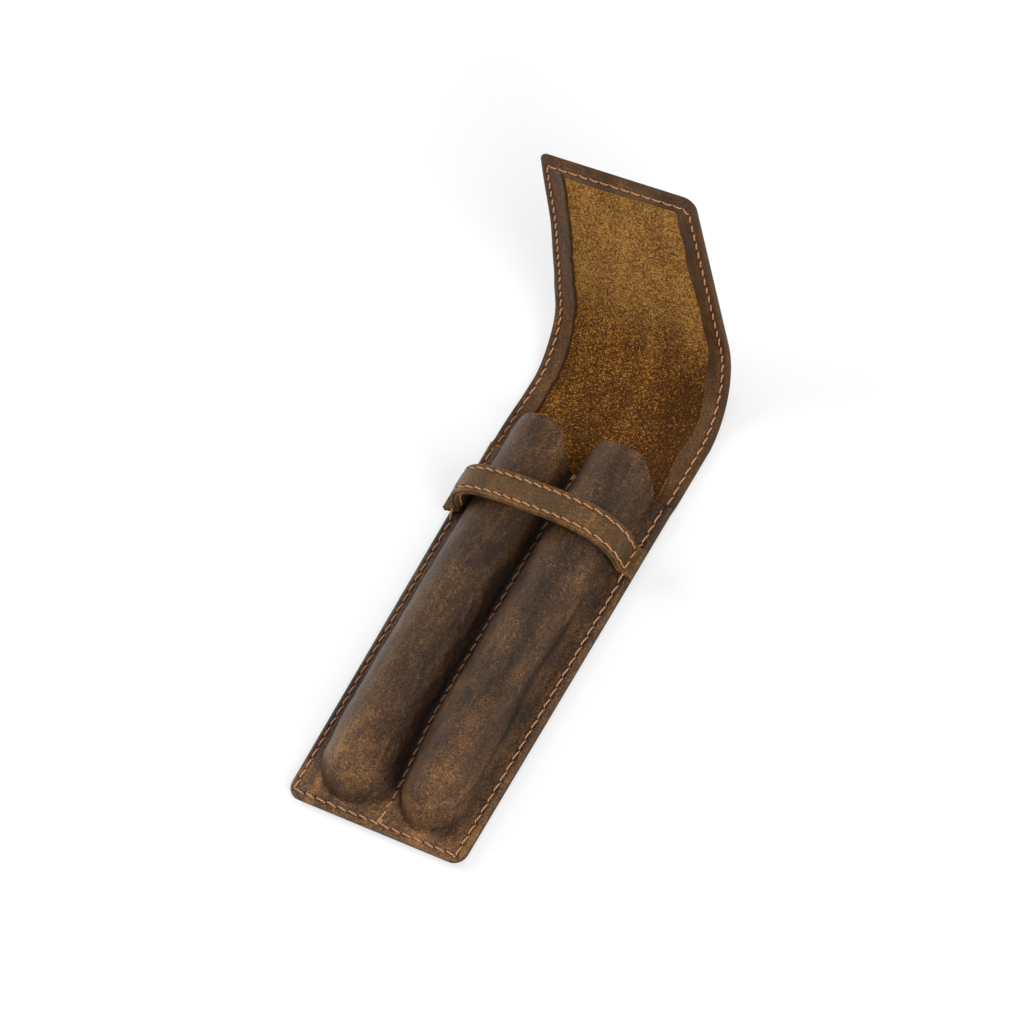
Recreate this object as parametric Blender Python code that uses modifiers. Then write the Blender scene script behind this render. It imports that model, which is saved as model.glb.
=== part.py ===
# A leather pouch with two moulded tubes, a sewn strap and a flap that curls over the mouth.
# The pouch lies on its back: X runs across it, Y from its bottom edge to its flap, Z up to its front.
# The origin is on the flat back, on the centre line. Everything is in metres.

import math

import bmesh
import bpy
import numpy as np
from mathutils import Matrix, Vector

# The long leather that makes the back and the flap
BODY_WIDTH_FOOT = 0.0576
BODY_WIDTH_FOLD = 0.0610
FLAP_WIDTH_TIP = 0.0495
BODY_LENGTH = 0.1421
ORIGIN_ABOVE_FOOT = 0.0706
BLADE_LENGTH = 0.0593
BACK_THICKNESS = 0.0012
HEM_THICKNESS = 0.0009
HEM_WIDTH = 0.0070
FOOT_CORNER_RADIUS = 0.0040
TIP_CORNER_LEFT = 0.0016
TIP_CORNER_RIGHT = 0.0040

# The bend between the back and the flap's blade, as a chain of narrow strips
FOLD_COUNT = 5
FOLD_WIDTH = 0.0066
REST_TURN = math.radians(78.5)
CLOSED_TURN = math.radians(175.5)
FOLD_GAP = 0.0003
MITRE_SPARE = math.radians(1.0)

# The front leather, moulded into two tubes that end in a tongue each
FRONT_THICKNESS = 0.0012
PANEL_LENGTH = 0.1204
TONGUE_RISE = 0.0085
TONGUE_FLAT_HALF = 0.0045
TONGUE_FALL_INNER = 0.0055
TONGUE_FALL_OUTER = 0.0085
TUBE_HEIGHT = 0.0114
TUBE_SIDE_MARGIN = 0.0049
TUBE_TOE_MARGIN = 0.0041
VALLEY_HALF = 0.0010
FILLET_START_SHARE = 0.93
HEM_RAMP = 0.0030
LAYER_GAP = 0.0003

# The strap, an outer band and a lining that arch over both tubes
STRAP_LOWER_EDGE = 0.0967
STRAP_WIDTH = 0.0094
STRAP_LINING_THICKNESS = 0.0009
STRAP_OUTER_THICKNESS = 0.0012
STRAP_CLEARANCE_UPPER = 0.0056
STRAP_CLEARANCE_LOWER = 0.0058
STRAP_SIDE_CLEARANCE = 0.0020
STRAP_FOOT_BEND = 0.0026
STRAP_SQUARENESS = 2.8

# The thread
BODY_PITCH = 0.0035
FLAP_PITCH = 0.0033
STRAP_PITCH = 0.0032
THREAD_RADIUS = 0.00035
DIP_SHARE = 0.4
SIDE_SEAM_INSET = 0.0022
FOOT_SEAM_INSET = 0.0017
TIP_SEAM_INSET = 0.0033
STRAP_SEAM_INSET = 0.0015
TACK_LENGTH = 0.0018
TACK_WIDTH = 0.0012

# How finely the moulded sheets are divided
PANEL_STATIONS = 46
CORNER_ROWS = 4
TOE_ROWS = 11
STRAIGHT_ROWS = 7
MOUTH_ROWS = 6
STRAP_STATIONS = 44
STRAP_ROW_COUNT = 2
CORNER_SEGMENTS = 4
FOOT_BEND_POINTS = 9
ARCH_POINTS = 60
SECTION_POINTS = 2001
SAME_PLACE = 0.000001

# Sizes that follow from the ones above
HEM_TOP = BACK_THICKNESS + HEM_THICKNESS
MARGIN_UNDER = HEM_TOP + LAYER_GAP
VALLEY_UNDER = BACK_THICKNESS + LAYER_GAP
MARGIN_TOP = MARGIN_UNDER + FRONT_THICKNESS
TUBE_TOP = VALLEY_UNDER + TUBE_HEIGHT + FRONT_THICKNESS
FILLET_DEPTH_SHARE = math.sqrt(1 - FILLET_START_SHARE ** 2)
FILLET_END_SHARE = FILLET_START_SHARE + 2 * FILLET_DEPTH_SHARE ** 2 / FILLET_START_SHARE
TUBE_RADIUS = (BODY_WIDTH_FOOT / 2 - TUBE_SIDE_MARGIN - VALLEY_HALF) / 2 / FILLET_END_SHARE
TUBE_CENTRE = VALLEY_HALF + TUBE_RADIUS * FILLET_END_SHARE
TOE_CENTRE = TUBE_TOE_MARGIN + TUBE_RADIUS * FILLET_END_SHARE
HINGE_HEIGHT = BACK_THICKNESS / 2
HEM_ABOVE_HINGE = HEM_TOP - HINGE_HEIGHT
FIRST_HINGE = BODY_LENGTH + FOLD_WIDTH / 2
LAST_HINGE = FIRST_HINGE + (FOLD_COUNT - 1) * FOLD_WIDTH
LEATHER_LENGTH = LAST_HINGE + BLADE_LENGTH
FOLD_TURN = REST_TURN / FOLD_COUNT
MITRE = math.tan(CLOSED_TURN / FOLD_COUNT / 2 + MITRE_SPARE)
STRAP_THICKNESS = STRAP_LINING_THICKNESS + LAYER_GAP + STRAP_OUTER_THICKNESS
STRAP_FOOT_UNDER = MARGIN_TOP + LAYER_GAP
STRAP_FOOT_TOP = STRAP_FOOT_UNDER + STRAP_THICKNESS
STRAP_UPPER_EDGE = STRAP_LOWER_EDGE + STRAP_WIDTH
STRAP_LEG = TUBE_CENTRE + TUBE_RADIUS + FRONT_THICKNESS + STRAP_SIDE_CLEARANCE


def clear_scene():
    for thing in list(bpy.data.objects):
        bpy.data.objects.remove(thing, do_unlink=True)


def make_collection(name):
    collection = bpy.data.collections.new(name)
    bpy.context.scene.collection.children.link(collection)
    return collection


def make_material(name, colour, roughness):
    material = bpy.data.materials.new(name)
    material.use_nodes = True
    shader = material.node_tree.nodes["Principled BSDF"]
    shader.inputs["Base Color"].default_value = (*colour, 1.0)
    shader.inputs["Roughness"].default_value = roughness
    shader.inputs["Metallic"].default_value = 0.0
    return material


def add_object(name, mesh_data, material, parent=None):
    """Makes one named piece from a bmesh and puts it under its parent."""
    mesh = bpy.data.meshes.new(name)
    bmesh.ops.recalc_face_normals(mesh_data, faces=mesh_data.faces)
    mesh_data.to_mesh(mesh)
    mesh_data.free()
    piece = bpy.data.objects.new(name, mesh)
    PARTS.objects.link(piece)
    if material is not None:
        mesh.materials.append(material)
    if parent is not None:
        piece.parent = parent
    return piece


def cut(piece, cutter_mesh):
    """Cuts a piece with a box given in the same local frame."""
    cutter = add_object(piece.name + "_cutter", cutter_mesh, None, piece.parent)
    PARTS.objects.unlink(cutter)
    CUTTERS.objects.link(cutter)
    cutter.hide_render = True
    cutter.display_type = "WIRE"
    modifier = piece.modifiers.new("recess", "BOOLEAN")
    modifier.operation = "DIFFERENCE"
    modifier.solver = "EXACT"
    modifier.object = cutter


def half_width(along):
    """Half the leather's width at a distance along it from the bottom edge."""
    if along <= BODY_LENGTH:
        share = along / BODY_LENGTH
        return (BODY_WIDTH_FOOT + (BODY_WIDTH_FOLD - BODY_WIDTH_FOOT) * share) / 2
    share = (along - BODY_LENGTH) / (LEATHER_LENGTH - BODY_LENGTH)
    return (BODY_WIDTH_FOLD + (FLAP_WIDTH_TIP - BODY_WIDTH_FOLD) * share) / 2


def row_y(along):
    """A place along the flat body in the frame's own Y."""
    return along - ORIGIN_ABOVE_FOOT


def slab(start, end, mitred_start, mitred_end, origin):
    """A block of leather from start to end along its length, in a frame whose Y begins at origin.

    Heights are measured from the hinge line, which runs through the middle of the leather. A mitred
    end leans back above that line, so that two neighbours can close on each other.
    """
    block = bmesh.new()
    bmesh.ops.create_cube(block, size=2.0)
    bmesh.ops.bisect_plane(block, geom=block.verts[:] + block.edges[:] + block.faces[:],
                           plane_co=(0, 0, 0), plane_no=(0, 0, 1))
    heights = {-1: -HINGE_HEIGHT, 0: 0.0, 1: HEM_ABOVE_HINGE}
    for vert in block.verts:
        height = heights[round(vert.co.z)]
        lean = max(height, 0.0) * MITRE + FOLD_GAP / 2
        if vert.co.y > 0:
            along = end - (lean if mitred_end else 0.0)
        else:
            along = start + (lean if mitred_start else 0.0)
        vert.co = Vector((math.copysign(half_width(along), vert.co.x), along - origin, height))
    return block


def round_corner(block, x_sign, y, radius):
    """Rounds the upright edge of a slab that stands at the given side and end."""
    edges = [edge for edge in block.edges
             if all(abs(vert.co.y - y) < SAME_PLACE and vert.co.x * x_sign > 0 for vert in edge.verts)
             and abs(edge.verts[0].co.z - edge.verts[1].co.z) > SAME_PLACE]
    bmesh.ops.bevel(block, geom=edges, offset=radius, segments=CORNER_SEGMENTS, profile=0.5,
                    affect="EDGES", clamp_overlap=True)


def make_hinge_frames():
    """Empties on the hinge lines, each turned a little further than the one before it."""
    frames = []
    place = Vector((0.0, row_y(FIRST_HINGE), HINGE_HEIGHT))
    for index in range(FOLD_COUNT):
        turn = FOLD_TURN * (index + 1)
        empty = bpy.data.objects.new(f"hinge_line_{index + 1}", None)
        CUTTERS.objects.link(empty)
        empty.location = place
        empty.rotation_euler = (turn, 0.0, 0.0)
        frames.append(empty)
        place = place + Matrix.Rotation(turn, 3, "X") @ Vector((0.0, FOLD_WIDTH, 0.0))
    return frames


def make_back_panel():
    """The flat back: one leather with its sides and bottom edge turned in over itself."""
    base = bpy.data.objects.new("back_frame", None)
    CUTTERS.objects.link(base)
    base.location = (0.0, row_y(0.0), HINGE_HEIGHT)
    block = slab(0.0, FIRST_HINGE, False, True, 0.0)
    round_corner(block, -1, 0.0, FOOT_CORNER_RADIUS)
    round_corner(block, 1, 0.0, FOOT_CORNER_RADIUS)
    piece = add_object("back_panel", block, BACK_LEATHER, base)
    cut(piece, recess_block(HEM_WIDTH, FIRST_HINGE + FOLD_WIDTH, 0.0))


def recess_block(start, end, origin):
    """The space between the turned edges, as a cutter that stands well clear above them."""
    block = bmesh.new()
    bmesh.ops.create_cube(block, size=2.0)
    for vert in block.verts:
        along = end if vert.co.y > 0 else start
        height = BACK_THICKNESS - HINGE_HEIGHT + (2 * HEM_TOP if vert.co.z > 0 else 0.0)
        side = math.copysign(half_width(along) - HEM_WIDTH, vert.co.x)
        vert.co = Vector((side, along - origin, height))
    return block


def make_flap_strips(frames):
    """The narrow strips that bend, each with its two turned edges."""
    for index in range(FOLD_COUNT - 1):
        start = FIRST_HINGE + index * FOLD_WIDTH
        end = start + FOLD_WIDTH
        block = slab(start, end, True, True, start)
        piece = add_object(f"flap_strip_{index + 1}", block, BACK_LEATHER, frames[index])
        cut(piece, recess_block(start - FOLD_WIDTH, end + FOLD_WIDTH, start))


def make_flap_blade(frame):
    """The flat end of the flap, with its sides and tip turned in."""
    block = slab(LAST_HINGE, LEATHER_LENGTH, True, False, LAST_HINGE)
    round_corner(block, -1, BLADE_LENGTH, TIP_CORNER_LEFT)
    round_corner(block, 1, BLADE_LENGTH, TIP_CORNER_RIGHT)
    piece = add_object("flap_blade", block, BACK_LEATHER, frame)
    cut(piece, recess_block(LAST_HINGE - FOLD_WIDTH, LEATHER_LENGTH - HEM_WIDTH, LAST_HINGE))


def smooth_step(value):
    share = min(max(value, 0.0), 1.0)
    return share * share * (3 - 2 * share)


def tube_shape(distance):
    """Height of a tube's section, 1 on its spine and 0 at its foot: a half round with a fillet."""
    if distance <= FILLET_START_SHARE:
        return math.sqrt(1 - distance * distance)
    if distance >= FILLET_END_SHARE:
        return 0.0
    share = (FILLET_END_SHARE - distance) / (FILLET_END_SHARE - FILLET_START_SHARE)
    return FILLET_DEPTH_SHARE * share * share


def front_under(x, along):
    """Height of the front leather's underside above the surface the pouch lies on."""
    to_hem = min(half_width(along) - HEM_WIDTH - abs(x), along - HEM_WIDTH)
    base = MARGIN_UNDER - HEM_THICKNESS * smooth_step(to_hem / HEM_RAMP)
    below = max(TOE_CENTRE - along, 0.0)
    distance = math.hypot(abs(x) - TUBE_CENTRE, below) / TUBE_RADIUS
    return base + (TUBE_TOP - FRONT_THICKNESS - base) * tube_shape(distance)


def panel_end(x):
    """How far up the front leather reaches: straight at its sides, with a tongue on each tube."""
    offset = abs(x) - TUBE_CENTRE
    fall = TONGUE_FALL_OUTER if offset > 0 else TONGUE_FALL_INNER
    return PANEL_LENGTH + TONGUE_RISE * (1 - smooth_step((abs(offset) - TONGUE_FLAT_HALF) / fall))


def panel_rows():
    """Distances along the panel of its rows, and after them the shares of the last stretch."""
    rows = []
    for step in range(CORNER_ROWS):
        rows.append(FOOT_CORNER_RADIUS * (1 - math.cos(math.pi / 2 * step / CORNER_ROWS)))
    for step in range(TOE_ROWS):
        rows.append(FOOT_CORNER_RADIUS + (TOE_CENTRE - FOOT_CORNER_RADIUS) * step / TOE_ROWS)
    for step in range(STRAIGHT_ROWS + 1):
        rows.append(TOE_CENTRE + (STRAP_UPPER_EDGE - TOE_CENTRE) * step / STRAIGHT_ROWS)
    return rows


def panel_stations():
    """Places across the panel, evenly spaced along its curved section."""
    middle = STRAP_LOWER_EDGE
    reach = half_width(middle)
    x = np.linspace(-reach, reach, SECTION_POINTS)
    z = np.array([front_under(value, middle) for value in x])
    length = np.concatenate([[0.0], np.cumsum(np.hypot(np.diff(x), np.diff(z)))])
    even = np.linspace(0.0, length[-1], PANEL_STATIONS + 1)
    return np.interp(even, length, x) / reach


def corner_half_width(along):
    """Half the body's width, drawn in where the bottom corners are rounded."""
    reach = half_width(along)
    if along >= FOOT_CORNER_RADIUS:
        return reach
    drop = FOOT_CORNER_RADIUS - along
    return reach - FOOT_CORNER_RADIUS + math.sqrt(FOOT_CORNER_RADIUS ** 2 - drop ** 2)


def mapped_sheet(columns, rows, place):
    """A flat grid whose points are carried to where the function puts them."""
    sheet = bmesh.new()
    bmesh.ops.create_grid(sheet, x_segments=columns, y_segments=rows, size=1.0)
    for vert in sheet.verts:
        column = round((vert.co.x + 1) / 2 * columns)
        row = round((vert.co.y + 1) / 2 * rows)
        vert.co = Vector(place(column, row))
    return sheet


def thicken(piece, thickness):
    """Gives a sheet its thickness on the side that its normals point to."""
    modifier = piece.modifiers.new("thickness", "SOLIDIFY")
    modifier.thickness = thickness
    modifier.offset = 1.0
    modifier.use_even_offset = True
    piece.data.shade_smooth()


def face_up(piece):
    """Turns a sheet's faces so that its middle one points up."""
    if piece.data.polygons[len(piece.data.polygons) // 2].normal.z < 0:
        piece.data.flip_normals()


def make_pocket_panel():
    """The front leather: flat margins, two moulded tubes and a tongue on each."""
    stations = panel_stations()
    rows = panel_rows()
    last = len(rows) - 1

    def place(column, row):
        share = stations[column]
        if row <= last:
            along = rows[row]
        else:
            end = panel_end(share * half_width(PANEL_LENGTH))
            along = rows[last] + (end - rows[last]) * (row - last) / MOUTH_ROWS
        x = share * corner_half_width(along)
        return x, row_y(along), front_under(x, along)

    sheet = mapped_sheet(PANEL_STATIONS, last + MOUTH_ROWS, place)
    piece = add_object("pocket_panel", sheet, FRONT_LEATHER)
    face_up(piece)
    thicken(piece, FRONT_THICKNESS)


def strap_reach():
    """Half the strap's width from foot to foot: as wide as the leather under its middle."""
    return half_width(STRAP_LOWER_EDGE + STRAP_WIDTH / 2)


def strap_foot_middle():
    """How far out the middle of the strap's flat foot lies, between its bend and its end."""
    return (STRAP_LEG + STRAP_FOOT_BEND + strap_reach()) / 2


def strap_section(top_height):
    """The strap's underside from its left foot to its right one, as evenly spaced points."""
    reach = strap_reach()
    spring = STRAP_FOOT_UNDER + STRAP_FOOT_BEND
    rise = top_height - spring
    half = [(-reach, STRAP_FOOT_UNDER)]
    for angle in np.linspace(0.0, math.pi / 2, FOOT_BEND_POINTS):
        half.append((-STRAP_LEG - STRAP_FOOT_BEND * (1 - math.sin(angle)),
                     spring - STRAP_FOOT_BEND * math.cos(angle)))
    power = 2 / STRAP_SQUARENESS
    for angle in np.linspace(0.0, math.pi / 2, ARCH_POINTS)[1:-1]:
        half.append((-STRAP_LEG * math.cos(angle) ** power, spring + rise * math.sin(angle) ** power))
    half.append((0.0, top_height))
    whole = np.array(half + [(-x, z) for x, z in reversed(half[:-1])])
    length = np.concatenate([[0.0], np.cumsum(np.hypot(*np.diff(whole, axis=0).T))])
    even = np.linspace(0.0, length[-1], STRAP_STATIONS + 1)
    return np.stack([np.interp(even, length, whole[:, 0]), np.interp(even, length, whole[:, 1])], axis=1)


def moved_out(section, distance):
    """The section pushed away from the tubes by a distance, square to itself."""
    slope = np.gradient(section, axis=0)
    slope /= np.linalg.norm(slope, axis=1)[:, None]
    return section + distance * np.stack([-slope[:, 1], slope[:, 0]], axis=1)


def strap_layer(name, distance, thickness, material):
    """One layer of the strap, whose lower edge stands further off the tubes than its upper edge."""
    lower = moved_out(strap_section(TUBE_TOP + STRAP_CLEARANCE_LOWER), distance)
    upper = moved_out(strap_section(TUBE_TOP + STRAP_CLEARANCE_UPPER), distance)

    def place(column, row):
        share = row / STRAP_ROW_COUNT
        x, z = lower[column] * (1 - share) + upper[column] * share
        return x, row_y(STRAP_LOWER_EDGE + STRAP_WIDTH * share), z

    piece = add_object(name, mapped_sheet(STRAP_STATIONS, STRAP_ROW_COUNT, place), material)
    face_up(piece)
    thicken(piece, thickness)


def make_strap():
    strap_layer("strap_lining", 0.0, STRAP_LINING_THICKNESS, STRAP_LEATHER)
    strap_layer("strap_outer", STRAP_LINING_THICKNESS + LAYER_GAP, STRAP_OUTER_THICKNESS, STRAP_LEATHER)


def thread(name, places, parent=None):
    """A run of thread through places that are by turns a hole, where it thins, and a stitch's middle."""
    curve = bpy.data.curves.new(name, "CURVE")
    curve.dimensions = "3D"
    curve.bevel_depth = THREAD_RADIUS
    curve.bevel_resolution = 0
    curve.use_fill_caps = True
    curve.materials.append(THREAD)
    spline = curve.splines.new("POLY")
    spline.points.add(len(places) - 1)
    for index, point in enumerate(spline.points):
        point.co = (*places[index], 1.0)
        point.radius = DIP_SHARE if index % 2 == 0 else 1.0
    piece = bpy.data.objects.new(name, curve)
    PARTS.objects.link(piece)
    piece.parent = parent


def stitch_shares(length, pitch):
    """The holes and stitch middles along a run, as shares of its length."""
    count = max(round(length / pitch), 1)
    return np.linspace(0.0, 1.0, 2 * count + 1)


def straight_seam(name, start, end, pitch, parent=None):
    """A straight run of stitches between two points of a surface that faces up."""
    start = Vector(start)
    run = Vector(end) - start
    start.z += LAYER_GAP + THREAD_RADIUS
    places = [start + run * share for share in stitch_shares(run.length, pitch)]
    thread(name, places, parent)


def valley_top(along):
    """Height of the front leather's outside on the centre line."""
    return front_under(0.0, along) + FRONT_THICKNESS


def tack(name, along):
    """A short, thick bar of thread that locks an end of the centre seam."""
    bar = bmesh.new()
    size = Matrix.Diagonal((TACK_WIDTH, TACK_LENGTH, THREAD_RADIUS * 2, 1.0))
    bmesh.ops.create_cube(bar, size=1.0, matrix=size)
    bmesh.ops.bevel(bar, geom=bar.edges[:], offset=THREAD_RADIUS / 3, segments=1, affect="EDGES")
    piece = add_object(name, bar, THREAD)
    piece.location = (0.0, row_y(along), valley_top(along) + LAYER_GAP + THREAD_RADIUS)


def make_edge_seams():
    """The edge seam through the margins, the strap's feet and the turned edges."""
    low_end = FOOT_SEAM_INSET + BODY_PITCH / 2
    between = LAYER_GAP + THREAD_RADIUS
    spans = (("lower", low_end, STRAP_LOWER_EDGE - between, MARGIN_TOP),
             ("mouth", STRAP_UPPER_EDGE + between, PANEL_LENGTH - between, MARGIN_TOP),
             ("top", PANEL_LENGTH + between, FIRST_HINGE - HEM_THICKNESS, HEM_TOP))
    for side_name, sign in (("left", -1), ("right", 1)):
        for span_name, start, end, height in spans:
            first = (sign * (half_width(start) - SIDE_SEAM_INSET), row_y(start), height)
            last = (sign * (half_width(end) - SIDE_SEAM_INSET), row_y(end), height)
            straight_seam(f"edge_seam_{side_name}_{span_name}", first, last, BODY_PITCH)
        foot_x = sign * strap_foot_middle()
        straight_seam(f"edge_seam_{side_name}_foot", (foot_x, row_y(STRAP_LOWER_EDGE), STRAP_FOOT_TOP),
                      (foot_x, row_y(STRAP_UPPER_EDGE), STRAP_FOOT_TOP), BODY_PITCH)
    reach = half_width(FOOT_SEAM_INSET) - SIDE_SEAM_INSET - between
    straight_seam("edge_seam_bottom", (-reach, row_y(FOOT_SEAM_INSET), MARGIN_TOP),
                  (reach, row_y(FOOT_SEAM_INSET), MARGIN_TOP), BODY_PITCH)


def make_centre_seam():
    """The seam between the tubes, which follows the leather down to the back, with a tack at each end."""
    space = THREAD_RADIUS + LAYER_GAP
    bottom_tack = FOOT_SEAM_INSET + space + TACK_LENGTH / 2
    top_tack = PANEL_LENGTH - LAYER_GAP - TACK_LENGTH / 2
    tack("centre_tack_bottom", bottom_tack)
    tack("centre_tack_top", top_tack)
    start = bottom_tack + TACK_LENGTH / 2 + THREAD_RADIUS
    run = top_tack - TACK_LENGTH / 2 - THREAD_RADIUS - start
    along = start + run * stitch_shares(run, BODY_PITCH)
    thread("centre_seam", [(0.0, row_y(place), valley_top(place) + space) for place in along])


def make_strap_seams():
    """Two rows of stitches along the strap, one near each edge."""
    lower = moved_out(strap_section(TUBE_TOP + STRAP_CLEARANCE_LOWER), STRAP_THICKNESS)
    upper = moved_out(strap_section(TUBE_TOP + STRAP_CLEARANCE_UPPER), STRAP_THICKNESS)
    for name, inset in (("lower", STRAP_SEAM_INSET), ("upper", STRAP_WIDTH - STRAP_SEAM_INSET)):
        share = inset / STRAP_WIDTH
        path = lower * (1 - share) + upper * share
        path = moved_out(path, LAYER_GAP + THREAD_RADIUS)
        length = np.concatenate([[0.0], np.cumsum(np.hypot(*np.diff(path, axis=0).T))])
        start = strap_reach() - STRAP_LEG
        run = length[-1] - 2 * start
        along = start + run * stitch_shares(run, STRAP_PITCH)
        x = np.interp(along, length, path[:, 0])
        z = np.interp(along, length, path[:, 1])
        y = row_y(STRAP_LOWER_EDGE + inset)
        thread(f"strap_seam_{name}", [(x[index], y, z[index]) for index in range(len(along))])


def make_flap_seams(frames):
    """The edge seam of the flap: short runs on each strip, and long runs on the blade."""
    height = HEM_ABOVE_HINGE
    end_space = height * MITRE + FOLD_GAP
    for side_name, sign in (("left", -1), ("right", 1)):
        for index, frame in enumerate(frames):
            along = FIRST_HINGE + index * FOLD_WIDTH
            if frame is frames[-1]:
                end = BLADE_LENGTH - TIP_SEAM_INSET - THREAD_RADIUS * 2
                name = f"flap_seam_{side_name}"
            else:
                end = FOLD_WIDTH - end_space
                name = f"strip_seam_{side_name}_{index + 1}"
            first = (sign * (half_width(along + end_space) - SIDE_SEAM_INSET), end_space, height)
            last = (sign * (half_width(along + end) - SIDE_SEAM_INSET), end, height)
            straight_seam(name, first, last, FLAP_PITCH, frame)
    reach = half_width(LEATHER_LENGTH) - SIDE_SEAM_INSET
    across = BLADE_LENGTH - TIP_SEAM_INSET
    straight_seam("flap_seam_tip", (-reach, across, height), (reach, across, height), FLAP_PITCH,
                  frames[-1])


clear_scene()
PARTS = make_collection("leather_pouch")
CUTTERS = make_collection("cutters_and_frames")
BACK_LEATHER = make_material("back_leather", (0.115, 0.058, 0.030), 0.55)
FRONT_LEATHER = make_material("front_leather", (0.100, 0.050, 0.030), 0.50)
STRAP_LEATHER = make_material("strap_leather", (0.150, 0.080, 0.038), 0.55)
THREAD = make_material("thread", (0.560, 0.240, 0.090), 0.60)
HINGES = make_hinge_frames()
make_back_panel()
make_flap_strips(HINGES)
make_flap_blade(HINGES[-1])
make_pocket_panel()
make_strap()
make_edge_seams()
make_centre_seam()
make_strap_seams()
make_flap_seams(HINGES)

bpy.context.view_layer.update()
print(f"Leather from the bottom edge to the flap's tip: {LEATHER_LENGTH * 1000:.1f} mm")
print(f"Top of the tubes above the surface: {TUBE_TOP * 1000:.1f} mm")
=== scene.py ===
# %% [markdown]
# This lesson dresses a small leather pouch: one long leather that is the back and the flap, a front
# leather moulded into two tubes, a strap across them, and one orange thread that holds it all. They
# give the sizes and they stay where they are; what we model here is laid over them, and all of it
# except the bends is attached to a body.

import math

import bpy
import numpy as np
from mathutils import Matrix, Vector, kdtree, noise


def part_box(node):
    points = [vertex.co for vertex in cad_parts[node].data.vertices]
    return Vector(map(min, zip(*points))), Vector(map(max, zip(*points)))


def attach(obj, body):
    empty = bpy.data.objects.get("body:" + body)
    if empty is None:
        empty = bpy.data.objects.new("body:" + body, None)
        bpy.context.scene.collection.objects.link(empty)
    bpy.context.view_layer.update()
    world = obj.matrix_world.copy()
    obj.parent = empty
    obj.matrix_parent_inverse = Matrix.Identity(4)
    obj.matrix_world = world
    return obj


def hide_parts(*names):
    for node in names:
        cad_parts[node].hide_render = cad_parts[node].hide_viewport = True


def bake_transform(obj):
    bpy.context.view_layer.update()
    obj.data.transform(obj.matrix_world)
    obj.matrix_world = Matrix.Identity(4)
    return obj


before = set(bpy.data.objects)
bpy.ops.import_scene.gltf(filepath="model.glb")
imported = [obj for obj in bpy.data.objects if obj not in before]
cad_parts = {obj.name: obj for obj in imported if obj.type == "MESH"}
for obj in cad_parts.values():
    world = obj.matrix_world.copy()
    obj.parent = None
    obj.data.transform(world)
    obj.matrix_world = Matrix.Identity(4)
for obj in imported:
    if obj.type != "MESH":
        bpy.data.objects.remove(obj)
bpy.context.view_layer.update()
foot_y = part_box("back_panel")[0][1]
print("the bottom edge is at y =", round(foot_y, 4))

# %% [markdown]
# The camera stands high above the foot of the pouch and to its right, with a long lens, as for a
# picture of goods on a white table. Its place and its three turns were found from the outline.

# %% Place the camera
camera_data = bpy.data.cameras.new("camera")
camera_data.lens = 172.2
camera_data.sensor_width = 36.0
camera_data.clip_end = 20.0
camera = bpy.data.objects.new("camera", camera_data)
bpy.context.scene.collection.objects.link(camera)
camera.location = (0.58689, -0.44520, 1.15075)
camera.rotation_euler = [math.radians(turn) for turn in (31.008, 13.956, 29.628)]
bpy.context.scene.camera = camera
print("camera at", [round(value, 3) for value in camera.location])

# %% [markdown]
# Before an object is made by hand, nothing else may be selected. Colour, relief and light are built
# from nodes, and small tools keep that short: one links two sockets, one fills in a node's numbers,
# one adds a node and one does a sum.

# %% Make tools for selecting and for nodes
def deselect():
    """Lets go of everything, so that the next step by hand changes only what it makes."""
    for thing in list(bpy.context.selected_objects):
        thing.select_set(False)


def link(source, target):
    target.id_data.links.new(source, target)


def fill_in(node, values):
    for label, value in values.items():
        node.inputs[label].default_value = value


def add_node(tree, kind, values=None):
    """A new node, with numbers for its sockets by name."""
    node = tree.nodes.new("ShaderNode" + kind)
    fill_in(node, values or {})
    return node


def add_math(tree, operation, *values):
    """The result of a sum on numbers and sockets."""
    step = add_node(tree, "Math")
    step.operation = operation
    for socket, value in zip(step.inputs, values):
        if isinstance(value, float):
            socket.default_value = value
        else:
            link(value, socket)
    return step.outputs[0]


print("the tools are ready")

# %% [markdown]
# The object lies on a plain white table. A white floor that is only lit would turn grey at its far
# side, so half of what the camera sees of it is its own light, and the other half still takes the
# object's shadow.

# %% Make the table
OWN_LIGHT = 0.55

deselect()
bpy.ops.mesh.primitive_plane_add(size=6.0, location=(0.0, 0.0, -0.0003))
table = bpy.context.object
table.name = "table"
table_finish = bpy.data.materials.new("table_white")
table_finish.use_nodes = True
tree = table_finish.node_tree
matte = tree.nodes["Principled BSDF"]
fill_in(matte, {
    "Base Color": (0.86, 0.86, 0.87, 1.0), "Roughness": 0.9, "Specular IOR Level": 0.1})
glow = add_node(tree, "Emission", {"Color": (1.0, 1.0, 1.0, 1.0)})
rays = add_node(tree, "LightPath")
blend_in = add_node(tree, "MixShader")
link(add_math(tree, "MULTIPLY", rays.outputs["Is Camera Ray"], OWN_LIGHT), blend_in.inputs["Fac"])
link(matte.outputs[0], blend_in.inputs[1])
link(glow.outputs[0], blend_in.inputs[2])
link(blend_in.outputs[0], tree.nodes["Material Output"].inputs["Surface"])
table.data.materials.append(table_finish)
print("the table's finish has", len(tree.nodes), "nodes")

# %% [markdown]
# Three large soft lamps stand for the boxes of a photo studio, and a faint white sky fills what
# they leave dark.

# %% Make the lamps
def add_lamp(name, place, aim, size, power, glint):
    lamp_data = bpy.data.lights.new(name, "AREA")
    lamp_data.shape = "RECTANGLE"
    lamp_data.size, lamp_data.size_y = size
    lamp_data.energy = power
    lamp_data.specular_factor = glint
    lamp = bpy.data.objects.new(name, lamp_data)
    bpy.context.scene.collection.objects.link(lamp)
    lamp.location = place
    facing = Vector(aim) - Vector(place)
    lamp.rotation_euler = facing.to_track_quat("-Z", "Y").to_euler()


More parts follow.
